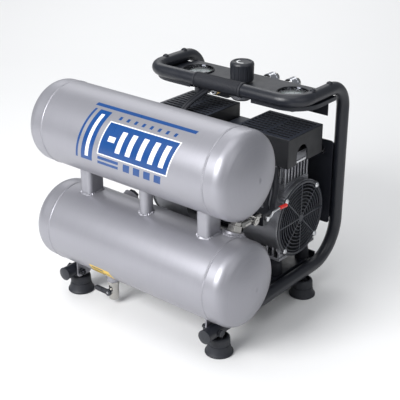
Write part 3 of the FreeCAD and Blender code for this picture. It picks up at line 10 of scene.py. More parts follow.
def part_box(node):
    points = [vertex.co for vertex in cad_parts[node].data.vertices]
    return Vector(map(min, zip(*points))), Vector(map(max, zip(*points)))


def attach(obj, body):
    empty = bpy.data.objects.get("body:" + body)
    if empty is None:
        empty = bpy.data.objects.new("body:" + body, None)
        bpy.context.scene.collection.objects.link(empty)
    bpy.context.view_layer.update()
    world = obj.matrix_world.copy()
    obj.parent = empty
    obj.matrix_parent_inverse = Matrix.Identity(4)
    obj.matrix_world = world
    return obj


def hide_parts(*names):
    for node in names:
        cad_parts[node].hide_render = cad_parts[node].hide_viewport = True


bl_info = {
    "name": "Twin-stack air compressor",
    "version": (1, 0, 0),
    "blender": (4, 5, 0),
    "location": "3D View > Sidebar > Compressor",
    "description": "Finishes, welds, grilles, fans, hoses and gauge marks for the compressor",
    "category": "Object",
}

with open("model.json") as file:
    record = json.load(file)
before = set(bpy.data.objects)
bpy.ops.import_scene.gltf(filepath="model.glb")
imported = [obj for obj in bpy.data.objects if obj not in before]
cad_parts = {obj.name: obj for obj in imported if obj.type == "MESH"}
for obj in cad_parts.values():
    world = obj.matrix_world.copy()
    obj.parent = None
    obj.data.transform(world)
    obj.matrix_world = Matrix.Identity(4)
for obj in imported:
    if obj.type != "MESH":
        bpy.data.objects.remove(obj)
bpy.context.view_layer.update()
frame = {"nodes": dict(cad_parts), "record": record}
slot_of = {part["node"]: part["material_slot"] for part in frame["record"]["subparts"]}
ROOT = "compressor_frame"
MM = 0.001


# ---------------------------------------------------------------- sizes and colours
def colour(name, description, default):
    return FloatVectorProperty(name=name, description=description, default=default,
                               subtype="COLOR", size=3, min=0.0, max=1.0)


def length(name, description, default):
    return FloatProperty(name=name, description=description, default=default,
                         unit="LENGTH", min=0.0)


class CompressorColours(bpy.types.PropertyGroup):
    """Base colours of the machine's finishes"""

    silver: colour("Tank silver", "Satin coat of both tanks", (0.305, 0.304, 0.335))
    frame_black: colour("Frame black", "Powder coat of the tubes and the tray",
                        (0.0105, 0.0122, 0.0182))
    plastic: colour("Moulded black", "Shrouds, grilles, fans and knob", (0.013, 0.0148, 0.0205))
    rubber: colour("Rubber", "Feet, mounts, grip and hoses", (0.0117, 0.0132, 0.0192))
    casting: colour("Casting", "Crankcases, cylinders and heads", (0.265, 0.269, 0.292))
    decal_blue: colour("Decal blue", "Printed bars on the upper tank", (0.0, 0.045, 0.185))
    sticker_yellow: colour("Sticker yellow", "Small sticker on the lower tank", (0.70, 0.45, 0.01))
    grip_red: colour("Red vinyl", "Sleeve of the valve lever and the rocker", (0.82, 0.022, 0.012))


class CompressorSizes(bpy.types.PropertyGroup):
    """Sizes of the pieces that are added to the frame"""

    weld_wire: length("Weld bead", "Radius of a weld bead", 2.7 * MM)
    grille_wire: length("Grille wire", "Radius of a grille ring", 1.25 * MM)
    grille_pitch: length("Grille pitch", "Distance from ring to ring", 7.1 * MM)
    grip_pitch: length("Grip rib pitch", "Distance between the grip's ribs", 3.0 * MM)
    hose: length("Hose radius", "Outside radius of a discharge hose", 5.5 * MM)
    lead: length("Lead radius", "Outside radius of a control lead", 4.2 * MM)
    blade: length("Blade thickness", "Thickness of a fan blade", 1.6 * MM)
    blades: IntProperty(name="Fan blades", description="Blades on each fan", default=7, min=3)
    numeral: length("Numeral", "Height of the gauges' numerals", 5.0 * MM)


def colours():
    return bpy.context.scene.compressor_colours


def sizes():
    return bpy.context.scene.compressor_sizes


# ---------------------------------------------------------------- finishes
class Finish:
    """A material of shader nodes. What is the same all over stays on the shader's sockets."""

    def __init__(self, name, base, roughness, metallic=0.0, **sockets):
        self.material = bpy.data.materials.new(name)
        self.material.use_nodes = True
        self.tree = self.material.node_tree
        self.shader = self.tree.nodes["Principled BSDF"]
        values = {key.replace("_", " "): value for key, value in sockets.items()}
        self.feed(self.shader, {"Base Color": (*base, 1.0), "Roughness": roughness,
                                "Metallic": metallic, **values})
        coordinates = self.node("TexCoord").outputs
        self.place, self.facing = coordinates["Object"], coordinates["Normal"]

    def feed(self, node, values):
        for key, value in values.items():
            if isinstance(value, bpy.types.NodeSocket):
                self.tree.links.new(value, node.inputs[key])
            else:
                node.inputs[key].default_value = value

    def node(self, kind, values=None, **settings):
        node = self.tree.nodes.new("ShaderNode" + kind)
        for key, value in settings.items():
            setattr(node, key, value)
        self.feed(node, values or {})
        return node

    def math(self, operation, *values):
        return self.node("Math", dict(enumerate(values)), operation=operation).outputs[0]

    def axes(self):
        return self.node("SeparateXYZ", {0: self.place}).outputs

    def noise(self, scale, detail=2.0, stretch=(1.0, 1.0, 1.0)):
        place = self.node("Mapping", {"Vector": self.place, "Scale": stretch}).outputs[0]
        return self.node("TexNoise", {"Vector": place, "Scale": scale,
                                      "Detail": detail}).outputs["Fac"]

    def remap(self, value, low, high, new_low=0.0, new_high=1.0):
        return self.node("MapRange", {"Value": value, "From Min": low, "From Max": high,
                                      "To Min": new_low, "To Max": new_high}).outputs[0]

    def blend(self, share, first, second):
        """Colour between two colours, where share is 0 for the first and 1 for the second."""
        ends = [(*end, 1.0) if isinstance(end, tuple) else end for end in (first, second)]
        node = self.node("Mix", {0: share, 6: ends[0], 7: ends[1]}, data_type="RGBA")
        return node.outputs[2]

    def inside(self, value, low, high):
        """1 where value lies between low and high, else 0."""
        return self.math("MULTIPLY", self.math("GREATER_THAN", value, low),
                         self.math("LESS_THAN", value, high))

    def union(self, masks):
        mask = masks[0]
        for other in masks[1:]:
            mask = self.math("MAXIMUM", mask, other)
        return mask

    def edges(self, radius):
        """1 along sharp edges, else 0: where the rounded normal leaves the true one."""
        true = self.node("NewGeometry").outputs["Normal"]
        dot = self.node("VectorMath", {0: self.rounding(radius), 1: true},
                        operation="DOT_PRODUCT").outputs[1]
        return self.remap(dot, 0.985, 0.82)

    def rounding(self, radius):
        return self.node("Bevel", {"Radius": radius}, samples=6).outputs[0]

    def bump(self, height, depth, normal=None, strength=1.0):
        values = {"Height": height, "Distance": depth, "Strength": strength}
        if normal is not None:
            values["Normal"] = normal
        return self.node("Bump", values).outputs[0]


def times(base, factor):
    """A colour made brighter or darker, with each channel held under 1."""
    return tuple(min(channel * factor, 1.0) for channel in base)


def grained(name, base, roughness, grain, depth, mottle=0.12, rough_spread=0.08,
            radius=0.5 * MM, edge=None, metallic=0.0, stretch=(1.0, 1.0, 1.0), **sockets):
    """A finish with cloudy tone, a fine grain in tone, gloss and height, and soft edges; given an
    edge colour, its edges are brightened in patches: partly rubbed wear, partly a painted edge
    highlight.
    """
    made = Finish(name, base, roughness, metallic, **sockets)
    cloud, fine = made.noise(14.0, 4.0), made.noise(grain, 3.0, stretch)
    tone = made.blend(cloud, times(base, 1 - mottle), times(base, 1 + mottle))
    speck = made.remap(fine, 0.3, 0.7)
    tone = made.blend(made.math("MULTIPLY", speck, 0.25), tone, times(base, 1 + 2 * mottle))
    if edge is not None:
        # Brightened edges: partly rubbed wear, partly a painted edge highlight.
        worn_and_lit_edges = made.math("MULTIPLY", made.edges(1.4 * radius), made.remap(cloud, 0.25, 0.6))
        tone = made.blend(worn_and_lit_edges, tone, edge)
    gloss = made.remap(made.noise(40.0, 4.0), 0.2, 0.8, roughness - rough_spread,
                       roughness + rough_spread)
    made.feed(made.shader, {"Base Color": tone, "Roughness": gloss,
                            "Normal": made.bump(fine, depth, made.rounding(radius))})
    made.tone = tone
    return made


SILVER_METALLIC = 0.55


def brushed_silver(name):
    """Satin silver with faint lines round the tank: the finish, its lines, tone and gloss."""
    base = tuple(colours().silver)
    made = Finish(name, base, 0.4, SILVER_METALLIC)
    rings, cloud = made.noise(1.0, 3.0, (950.0, 9.0, 9.0)), made.noise(9.0, 3.0)
    tone = made.blend(cloud, times(base, 0.95), times(base, 1.05))
    tone = made.blend(made.remap(rings, 0.3, 0.7, 0.0, 0.4), tone, times(base, 1.12))
    return made, rings, tone, made.remap(rings, 0.25, 0.75, 0.36, 0.44)


def silver_coat(name, prints=None):
    """Coat of the barrels and the pieces welded to them, and what is printed on it."""
    made, rings, tone, gloss = brushed_silver(name)
    metallic = SILVER_METALLIC
    if prints:
        mask, tone = prints(made, tone)
        metallic = made.remap(mask, 0.0, 1.0, SILVER_METALLIC, 0.0)
        gloss = made.math("SUBTRACT", gloss, made.math("MULTIPLY", mask, 0.1))
    height = made.math("ADD", made.noise(900.0), made.math("MULTIPLY", rings, 0.6))
    made.feed(made.shader, {"Base Color": tone, "Metallic": metallic, "Roughness": gloss,
                            "Normal": made.bump(height, 0.03 * MM)})
    return made.material


def unrolled(made, node):
    """Along the tank and round its skin, in metres, from the middle of its front."""
    low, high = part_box(node)
    x, y, z = made.axes()
    ahead = made.math("SUBTRACT", (low.y + high.y) / 2, y)
    above = made.math("SUBTRACT", z, (low.z + high.z) / 2)
    turn = made.math("ARCTAN2", above, ahead)
    return x, made.math("MULTIPLY", turn, (high.z - low.z) / 2)


def bar(made, along, up, left, right, bottom, top, slant=0.25):
    """A printed bar whose ends lean with the print."""
    leaning = made.math("SUBTRACT", along, made.math("MULTIPLY", up, slant))
    return made.math("MULTIPLY", made.inside(leaning, left * MM, right * MM),
                     made.inside(up, bottom * MM, top * MM))


def decal(made, tone):
    """Plain leaning bars: two uprights, long lines and a wide panel with pale stripes."""
    along, up = unrolled(made, "upper_tank_barrel")

    def row(lefts, width, bottom, top):
        return [bar(made, along, up, left, left + width, bottom, top) for left in lefts]

    panel = bar(made, along, up, -44, 115, 0, 60)
    solid = [bar(made, along, up, -99, -94, -22, 78), bar(made, along, up, -86, -58, -22, 78),
             bar(made, along, up, -106, 126, 84, 91), panel,
             *row(range(-34, 110, 18), 6, 68, 75),
             bar(made, along, up, -44, 6, -12, -6), bar(made, along, up, -44, 6, -22, -16),
             *row((18, 42, 66, 90), 15, -22, -6)]
    pale = [bar(made, along, up, -30, -14, 26, 36), *row((-6, 18, 44, 70, 94), 11, 10, 50),
            bar(made, along, up, -76, -68, -14, 70)]
    outline = made.math("SUBTRACT", bar(made, along, up, -46.5, 117.5, -2, 62), panel)
    pale.append(outline)
    ink = made.blend(made.noise(30.0), times(colours().decal_blue, 0.9),
                     times(colours().decal_blue, 1.15))
    pale_mask = made.union(pale)
    printed = made.blend(pale_mask, made.blend(made.union(solid), tone, ink),
                         (0.72, 0.72, 0.74))
    return made.union([*solid, pale_mask]), printed


def sticker(made, tone):
    """A yellow sticker with a dark frame line and plain dark bars."""
    along, up = unrolled(made, "lower_tank_barrel")
    label = bar(made, along, up, -92, -40, -70, -37, 0.0)
    marks = [bar(made, along, up, -88, -58, -46, -41, 0.0)]
    for row in range(4):
        low = -53 - 5 * row
        marks.append(bar(made, along, up, -88, -44 - 5 * (row % 2), low, low + 2.4, 0.0))
    yellow = made.blend(made.noise(25.0), times(colours().sticker_yellow, 0.94),
                        times(colours().sticker_yellow, 1.05))
    face = made.blend(made.union(marks), yellow, (0.03, 0.03, 0.03))
    return label, made.blend(label, tone, face)


def seamed_silver():
    """Coat of the tank ends, with the ripple of the girth weld at the seam."""
    made, rings, tone, gloss = brushed_silver("tank end coat")
    low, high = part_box("lower_tank_barrel")
    upper_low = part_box("upper_tank_barrel")[0]
    x, y, z = made.axes()
    middle = (high.z + upper_low.z) / 2
    shift = made.math("MULTIPLY", made.math("GREATER_THAN", z, middle), upper_low.z - low.z)
    above = made.math("SUBTRACT", made.math("SUBTRACT", z, shift), (low.z + high.z) / 2)
    turn = made.math("ARCTAN2", above, made.math("SUBTRACT", (low.y + high.y) / 2, y))
    ripple = made.math("SINE", made.math("MULTIPLY", turn, 170.0))
    seam = made.inside(made.math("ABSOLUTE", x), high.x, high.x + 5 * MM)
    height = made.math("ADD", made.math("MULTIPLY", made.noise(900.0), 0.05),
                       made.math("MULTIPLY", made.math("MULTIPLY", ripple, seam), 0.5))
    made.feed(made.shader, {"Base Color": tone, "Roughness": gloss,
                            "Normal": made.bump(height, 0.4 * MM)})
    return made.material


def turned_metal(name, base, roughness, lines=(400.0, 400.0, 400.0), **sockets):
    """Metal with fine machining lines and a little tarnish."""
    return grained(name, base, roughness, 1.0, 0.02 * MM, mottle=0.06, rough_spread=0.05,
                   metallic=1.0, stretch=lines, radius=0.3 * MM, **sockets).material


def cast_aluminium():
    """Blasted casting, brighter along edges: partly where they are machined or rubbed, partly a
    painted edge highlight.
    """
    # The pale edge colour is partly rubbed wear, partly a painted edge highlight.
    return grained("cast aluminium", colours().casting, 0.42, 620.0, 0.16 * MM, mottle=0.14,
                   metallic=0.85, edge=(0.80, 0.81, 0.84), radius=1.0 * MM).material


def moulded_shroud():
    """Moulded black of the shrouds: matt walls darkened as painted shade, and a paler painted
    highlight on what faces up.
    """
    # The walls are half the black, as painted shade; the three-times-paler black brightens edges
    # (partly rubbed wear, partly painted edge highlight) and is the painted highlight on the tops.
    dark, pale = times(colours().plastic, 0.5), times(colours().plastic, 3.0)
    made = grained("shroud black", dark, 0.5, 1700.0, 0.06 * MM, edge=pale)
    up = made.node("SeparateXYZ", {0: made.facing}).outputs[2]
    # Painted highlight: faces that point up turn paler, as if lit from above.
    made.feed(made.shader, {"Base Color": made.blend(made.remap(up, 0.7, 0.95),
                                                     made.tone, pale)})
    return made.material


def head_casting():
    """Casting of the cylinder heads: their top, where the cooling fins stand and which shows
    through the shroud's slots, is coloured near-black as painted shade.
    """
    made = grained("head casting", colours().casting, 0.46, 620.0, 0.16 * MM, mottle=0.14,
                   metallic=0.6, edge=(0.66, 0.67, 0.70), radius=0.7 * MM)
    # Painted shade: the top 8.5 mm of the heads goes near-black, so the inside of the shroud looks
    # dark through its slots.
    fins = made.math("GREATER_THAN", made.axes()[2],
                     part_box("cylinder_heads")[1].z - 8.5 * MM)
    made.feed(made.shader, {"Base Color": made.blend(fins, made.tone, (0.008, 0.008, 0.009))})
    return made.material


def laminated_steel():
    """Stacked sheets: fine dark lines across the motor's axis."""
    made = Finish("laminations", (0.16, 0.13, 0.10), 0.5, 0.7)
    sheet = made.math("SINE", made.math("MULTIPLY", made.axes()[0], 9000.0))
    tone = made.blend(made.remap(sheet, -1, 1), (0.09, 0.07, 0.055), (0.22, 0.18, 0.14))
    made.feed(made.shader, {"Base Color": tone, "Normal": made.bump(sheet, 0.05 * MM)})
    return made.material


def dial_face():
    """White dial with a printed scale: long and short ticks, a green arc and a red one."""
    made = Finish("gauge dial", (0.78, 0.79, 0.78), 0.35)
    low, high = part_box("gauge_dials")
    radius = (high.y - low.y) / 2
    x, y = made.axes()[:2]
    side = made.math("SUBTRACT", made.math("ABSOLUTE", x), high.x - radius)
    ahead = made.math("SUBTRACT", y, (low.y + high.y) / 2)
    turn = made.math("ARCTAN2", side, ahead)
    reach = made.math("SQRT", made.math("ADD", made.math("MULTIPLY", side, side),
                                        made.math("MULTIPLY", ahead, ahead)))
    sweep, spill = math.radians(135), 0.02
    scale = made.inside(turn, -sweep - spill, sweep + spill)

    def ticks(count, width, inner):
        step = 2 * sweep / count
        near = made.math("PINGPONG", made.math("ADD", turn, 2 * sweep + sweep), step / 2)
        hit = made.math("LESS_THAN", made.math("MULTIPLY", near, reach), width / 2)
        return made.math("MULTIPLY", hit, made.inside(reach, inner, 0.92 * radius))

    marks = made.union([ticks(10, 0.9 * MM, 0.74 * radius), ticks(50, 0.4 * MM, 0.83 * radius)])
    band = made.inside(reach, 0.93 * radius, 0.97 * radius)
    tone = made.blend(made.noise(60.0), (0.76, 0.77, 0.76), (0.82, 0.82, 0.81))
    green, red = (0.02, 0.3, 0.06), (0.7, 0.02, 0.01)
    for start, end, ink in ((-sweep, 1.2, green), (1.5, sweep, red)):
        tone = made.blend(made.math("MULTIPLY", band, made.inside(turn, start, end)), tone, ink)
    tone = made.blend(made.math("MULTIPLY", marks, scale), tone, (0.01, 0.01, 0.012))
    made.feed(made.shader, {"Base Color": tone})
    return made.material


def clear_lens():
    """Acrylic window with a faint haze."""
    made = Finish("gauge lens", (0.93, 0.96, 0.98), 0.04, Transmission_Weight=1.0, IOR=1.49)
    haze = made.noise(90.0, 4.0)
    made.feed(made.shader, {"Roughness": made.remap(haze, 0.3, 0.7, 0.03, 0.09)})
    return made.material


def painted(name, base, roughness, grain, depth, **more):
    """The material of a grained finish."""
    return grained(name, base, roughness, grain, depth, **more).material


# Where an edge colour is given, edges turn paler: partly rubbed wear, partly a painted edge
# highlight.
FINISHES = {
    "tank_silver": lambda: silver_coat("tank coat"),
    "frame_black": lambda: painted("frame coat", colours().frame_black, 0.36, 1500.0, 0.05 * MM,
                                   edge=times(colours().frame_black, 2.4), mottle=0.1),
    "console_black": lambda: painted("console coat", colours().frame_black, 0.46, 1100.0,
                                     0.09 * MM, edge=times(colours().frame_black, 3.0)),
    "black_plastic": lambda: painted("moulded black", colours().plastic, 0.42, 1700.0,
                                     0.06 * MM, edge=times(colours().plastic, 2.2)),
    "black_rubber": lambda: painted("rubber", colours().rubber, 0.58, 700.0, 0.08 * MM,
                                    edge=times(colours().rubber, 2.0), mottle=0.16),
    "black_steel": lambda: painted("black zinc", (0.03, 0.032, 0.038), 0.3, 900.0, 0.03 * MM,
                                   metallic=0.7, edge=(0.25, 0.25, 0.27)),
    "needle_black": lambda: painted("needle paint", (0.012, 0.012, 0.014), 0.35, 2000.0,
                                    0.01 * MM),
    "cast_aluminium": cast_aluminium,
    "laminated_steel": laminated_steel,
    "machined_aluminium": lambda: turned_metal("machined aluminium", (0.70, 0.71, 0.73), 0.28),
    "steel": lambda: turned_metal("ground steel", (0.45, 0.45, 0.47), 0.3, (1200.0, 60.0, 60.0)),
    "zinc_steel": lambda: turned_metal("bright zinc", (0.72, 0.73, 0.75), 0.33),
    "chrome_plate": lambda: turned_metal("chrome", (0.42, 0.43, 0.46), 0.1),
    "nickel_brass": lambda: turned_metal("nickelled brass", (0.46, 0.45, 0.43), 0.22),
    "yellow_brass": lambda: turned_metal("brass", (0.76, 0.53, 0.20), 0.27),
    "dial_white": dial_face,
    "clear_lens": clear_lens,
    "red_vinyl": lambda: painted("red vinyl", colours().grip_red, 0.3, 500.0, 0.05 * MM,
                                 mottle=0.05, rough_spread=0.04, Coat_Weight=0.35,
                                 Coat_Roughness=0.15),
}
made_finishes = {}


def finish(slot):
    """The material of a slot, made once."""
    if slot not in made_finishes:
        made_finishes[slot] = FINISHES[slot]()
    return made_finishes[slot]


def coat(*nodes, material=None):
    """Give CAD nodes the finish of their material slot, or another one."""
    for name in nodes:
        mesh = frame["nodes"][name].data
        mesh.materials.clear()
        mesh.materials.append(material or finish(slot_of[name]))


# ---------------------------------------------------------------- mesh helpers
def piece(name, bm, slot, body=ROOT, replaces=(), sharp=40.0, material=None):
    """Turn a finished bmesh into a piece that rides on a body."""
    mesh = bpy.data.meshes.new(name)
    bm.to_mesh(mesh)
    bm.free()
    mesh.shade_smooth()
    mesh.set_sharp_from_angle(angle=math.radians(sharp))
    mesh.materials.append(material or finish(slot))
    made = bpy.data.objects.new(name, mesh)
    bpy.context.scene.collection.objects.link(made)
    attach(made, body)
    if replaces:
        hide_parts(*replaces)


TURNS = {"X": Matrix.Rotation(math.pi / 2, 4, "Y"), "Y": Matrix.Rotation(-math.pi / 2, 4, "X"),
         "Z": Matrix.Identity(4)}


def at(centre, axis="Z"):
    """Place whose local Z runs along an axis."""
    return Matrix.Translation(centre) @ TURNS[axis]


def ring(bm, place, radius, wire, steps=72, sides=8):
    """A round wire bent into a ring about the place's local Z. Returns its vertices."""
    start = place @ Matrix.Translation((radius, 0, 0)) @ Matrix.Rotation(math.pi / 2, 4, "X")
    section = bmesh.ops.create_circle(bm, segments=sides, radius=wire, matrix=start)["verts"]
    others = set(bm.verts) - set(section)
    edges = list({edge for vert in section for edge in vert.link_edges})
    bmesh.ops.spin(bm, geom=section + edges, cent=place.to_translation(),
                   axis=place.to_3x3() @ Vector((0, 0, 1)), angle=math.tau, steps=steps,
                   use_merge=True)
    return [vert for vert in bm.verts if vert not in others]


def soften(bm, edges, bevel):
    """Round edges over with two faces."""
    bmesh.ops.bevel(bm, geom=edges, offset=bevel, offset_type="OFFSET", segments=2,
                    profile=0.5, affect="EDGES", material=-1)


def disc(bm, place, radius, depth, bevel, segments=32):
    """A round plate with a bevelled rim, from the place along its local Z."""
    made = bmesh.ops.create_cone(bm, cap_ends=True, segments=segments, radius1=radius,
                                 radius2=radius, depth=depth,
                                 matrix=place @ Matrix.Translation((0, 0, depth / 2)))
    rims = [edge for edge in {e for vert in made["verts"] for e in vert.link_edges}
            if any(len(face.verts) > 4 for face in edge.link_faces)]
    soften(bm, rims, bevel)


def slab(bm, place, size, bevel):
    """A rounded box of that size about the place."""
    scale = Matrix.Diagonal((*size, 1.0))
    made = bmesh.ops.create_cube(bm, size=1.0, matrix=place @ scale)
    soften(bm, list({edge for vert in made["verts"] for edge in vert.link_edges}), bevel)


def flip_copy(bm):
    """Add the mirror image across the middle of the machine."""
    copied = bmesh.ops.duplicate(bm, geom=bm.verts[:] + bm.edges[:] + bm.faces[:])["geom"]
    verts = [item for item in copied if isinstance(item, bmesh.types.BMVert)]
    faces = [item for item in copied if isinstance(item, bmesh.types.BMFace)]
    bmesh.ops.scale(bm, vec=(-1, 1, 1), verts=verts)
    bmesh.ops.reverse_faces(bm, faces=faces)


def outward(bm):
    """Merge doubled vertices and point all faces outwards."""
    bmesh.ops.remove_doubles(bm, verts=bm.verts[:], dist=0.001 * MM)
    bmesh.ops.recalc_face_normals(bm, faces=bm.faces[:])


def mesh_of(curve):
    """The mesh that a curve makes; the object that held the curve is removed."""
    holder = bpy.data.objects.new(curve.name, curve)
    bpy.context.scene.collection.objects.link(holder)
    mesh = bpy.data.meshes.new_from_object(holder)
    bpy.data.objects.remove(holder)
    return mesh


def line_mesh(name, points, radius):
    """Mesh of a round line along a smooth NURBS curve through its control points."""
    curve = bpy.data.curves.new(name, "CURVE")
    curve.dimensions = "3D"
    curve.bevel_depth = radius
    curve.bevel_resolution = 4
    curve.resolution_u = 10
    curve.use_fill_caps = True
    spline = curve.splines.new("NURBS")
    spline.points.add(len(points) - 1)
    for point, place in zip(spline.points, points):
        point.co = (*place, 1.0)
    spline.order_u = 3
    spline.use_endpoint_u = True
    return mesh_of(curve)


# ---------------------------------------------------------------- tanks
def weld(bm, tank, x, y, half_x, half_y, turn, squareness=2.0):
    """A rippled bead where a post, pipe or boss meets a tank. Turn 0 is the tank's top."""
    low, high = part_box(tank)
    radius, power = (high.z - low.z) / 2, 2.0 / squareness
    verts = ring(bm, Matrix.Identity(4), 1.0, sizes().weld_wire, steps=96, sides=8)
    for vert in verts:
        angle = math.atan2(vert.co.y, vert.co.x)
        out, rise = math.hypot(vert.co.x, vert.co.y) - 1.0, vert.co.z
        cosine, sine = math.cos(angle), math.sin(angle)
        edge_x = half_x * math.copysign(abs(cosine) ** power, cosine)
        edge_y = half_y * math.copysign(abs(sine) ** power, sine)
        swell = 1.0 + 0.2 * math.sin(22 * angle) + 0.16 * math.sin(7 * angle + x * 90)
        away = Vector((cosine * half_y, sine * half_x, 0)).normalized()
        vert.co = Vector((x + edge_x, y + edge_y, 0)) + away * out * swell
        vert.co.z = math.sqrt(radius ** 2 - vert.co.y ** 2) + rise * swell
    bmesh.ops.rotate(bm, verts=verts, cent=(0, 0, 0),
                     matrix=Matrix.Rotation(math.radians(turn), 3, "X"))
    bmesh.ops.translate(bm, verts=verts, vec=(0, (low.y + high.y) / 2, (low.z + high.z) / 2))


# radii of the bosses under the weld beads, where they sit, and their turn from the tank's top
DRAIN_BOSS, VALVE_BOSS, SPARE_BOSS = 13 * MM, 19 * MM, 17 * MM
DRAIN_CENTRE, VALVE_INSET, SPARE_X = 10.5 * MM, 15 * MM, -118 * MM
VALVE_TURN, SPARE_TURN, BELOW = -22, -60, 180


class COMPRESSOR_OT_tanks(bpy.types.Operator):
    """Coat the tanks, print the decal and the sticker, and lay the weld beads"""

    bl_idname = "compressor.tanks"
    bl_label = "Tanks"

    def execute(self, context):
        coat("tank_posts", "tank_link_pipe", "tank_lugs", "tank_bosses")
        coat("tank_heads", material=seamed_silver())
        coat("upper_tank_barrel", material=silver_coat("upper tank coat", decal))
        coat("lower_tank_barrel", material=silver_coat("lower tank coat", sticker))
        low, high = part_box("lower_tank_barrel")
        middle = (low.y + high.y) / 2
        post_low, post_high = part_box("tank_posts")
        pipe_low, pipe_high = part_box("tank_link_pipe")
        half = (post_high.x - abs(self.post_inner())) / 2
        bm = bmesh.new()
        for tank, turn, flip in (("lower_tank_barrel", 0, 1), ("upper_tank_barrel", BELOW, -1)):
            post_y = flip * ((post_low.y + post_high.y) / 2 - middle)
            for side in (-1, 1):
                weld(bm, tank, side * (post_high.x - half), post_y, half,
                     (post_high.y - post_low.y) / 2, turn, 4.0)
            pipe_y = flip * ((pipe_low.y + pipe_high.y) / 2 - middle)
            pipe_half = (pipe_high.x - pipe_low.x) / 2
            weld(bm, tank, (pipe_low.x + pipe_high.x) / 2, pipe_y, pipe_half, pipe_half, turn)
        valve_low, valve_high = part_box("drain_valve_body")
        boss_x = (valve_low.x + valve_high.x) / 2
        boss_y = middle - (valve_high.y - DRAIN_CENTRE)
        for x, y, radius, turn in ((boss_x, boss_y, DRAIN_BOSS, BELOW),
                                   (high.x - VALVE_INSET, 0.0, VALVE_BOSS, VALVE_TURN),
                                   (SPARE_X, 0.0, SPARE_BOSS, SPARE_TURN)):
            weld(bm, "lower_tank_barrel", x, y, radius, radius, turn)
        bead, sunk = 1.2 * MM, 0.5 * MM
        for tank in ("lower_tank_barrel", "upper_tank_barrel"):
            seam_low, seam_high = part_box(tank)
            seam_z, radius = (seam_low.z + seam_high.z) / 2, (seam_high.z - seam_low.z) / 2
            for x in (seam_low.x - bead, seam_high.x + bead):
                ring(bm, at((x, middle, seam_z), "X"), radius - sunk, bead, 120, 8)
        outward(bm)
        piece("tank_welds", bm, "tank_silver")
        return {"FINISHED"}

    @staticmethod
    def post_inner():
        """Nearest vertex of the right post to the machine's middle."""
        return min(vert.co.x for vert in frame["nodes"]["tank_posts"].data.vertices
                   if vert.co.x > 0)


# ---------------------------------------------------------------- frame
class COMPRESSOR_OT_tube_frame(bpy.types.Operator):
    """Coat the bent tubes, the plugs, the tray, the guard and their bolts"""

    bl_idname = "compressor.tube_frame"
    bl_label = "Tube frame"

    def execute(self, context):
        coat("side_tubes", "handle_tube", "tube_plugs", "base_tray", "rear_guard",
             "dome_bolts", "hex_bolts")
        return {"FINISHED"}


class COMPRESSOR_OT_grip(bpy.types.Operator):
    """Make the ribbed rubber sleeve on the handle"""

    bl_idname = "compressor.grip"
    bl_label = "Handle grip"

    def execute(self, context):
        low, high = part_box("handle_grip")
        centre = (low + high) / 2
        radius, half = (high.z - low.z) / 2, (high.x - low.x) / 2
        collar, groove = 5 * MM, 1.0 * MM
        inner = (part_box("handle_tube")[1].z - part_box("handle_tube")[0].z) / 2
        round_over, step_half, step_depth = 1.2 * MM, 0.5 * MM, 0.7 * MM
        rows, columns = 348, 40
        bm = bmesh.new()
        bmesh.ops.create_grid(bm, x_segments=rows, y_segments=columns, size=1.0)
        for vert in bm.verts:
            along, turn = vert.co.x * half, vert.co.y * math.pi
            end = half - abs(along)
            rib = 0.0
            if end > collar:
                rib = groove * (0.5 - 0.5 * math.cos(math.tau * along / sizes().grip_pitch))
            round_end = max(0.0, 1.0 - end / round_over)
            size = radius - rib - (radius - inner) * 0.6 * round_end ** 2
            if abs(end - collar) < step_half:
                size -= step_depth
            vert.co = centre + Vector((along, size * math.cos(turn), size * math.sin(turn)))
        outward(bm)
        piece("grip_sleeve", bm, "black_rubber", replaces=["handle_grip"], sharp=60)
        return {"FINISHED"}


class COMPRESSOR_OT_feet(bpy.types.Operator):
    """Give the feet and the pump's mounts their rubber"""

    bl_idname = "compressor.feet"
    bl_label = "Rubber feet and mounts"

    def execute(self, context):
        coat("rubber_feet", "rubber_mounts")
        return {"FINISHED"}


# ---------------------------------------------------------------- console
def text_mesh(body, size):
    """Mesh of one numeral, centred on the origin."""
    curve = bpy.data.curves.new("numeral", "FONT")
    curve.body = body
    curve.size = size
    curve.align_x, curve.align_y = "CENTER", "CENTER"
    curve.extrude = 0.08 * MM
    return mesh_of(curve)


class COMPRESSOR_OT_gauges(bpy.types.Operator):
    """Finish the gauges and print their numerals"""

    bl_idname = "compressor.gauges"
    bl_label = "Pressure gauges"

    def execute(self, context):
        coat("gauge_dials", "gauge_lenses", "left_gauge_needle", "right_gauge_needle")
        coat("gauge_cases", material=turned_metal("dark chrome", (0.035, 0.036, 0.042), 0.14))
        low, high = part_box("gauge_dials")
        radius = (high.y - low.y) / 2
        bm = bmesh.new()
        for side in (-1, 1):
            centre = Vector((side * (high.x - radius), (low.y + high.y) / 2,
                             high.z + 0.1 * MM))
            for step in range(6):
                turn = math.radians(135 - 54 * step)
                mesh = text_mesh(str(2 * step), sizes().numeral)
                place = centre + 0.58 * radius * Vector((-math.sin(turn), math.cos(turn), 0))
                mesh.transform(Matrix.Translation(place))
                bm.from_mesh(mesh)
        piece("gauge_numerals", bm, "needle_black")
        return {"FINISHED"}


class COMPRESSOR_OT_console(bpy.types.Operator):
    """Coat the console plate and the pieces fixed under it"""

    bl_idname = "compressor.console"
    bl_label = "Console"

    def execute(self, context):
        coat("console_plate", "manifold", "pressure_switch", "rocker_switch", "safety_valve",
             "safety_valve_ring", "regulator_body", "regulator_spindle")
        return {"FINISHED"}


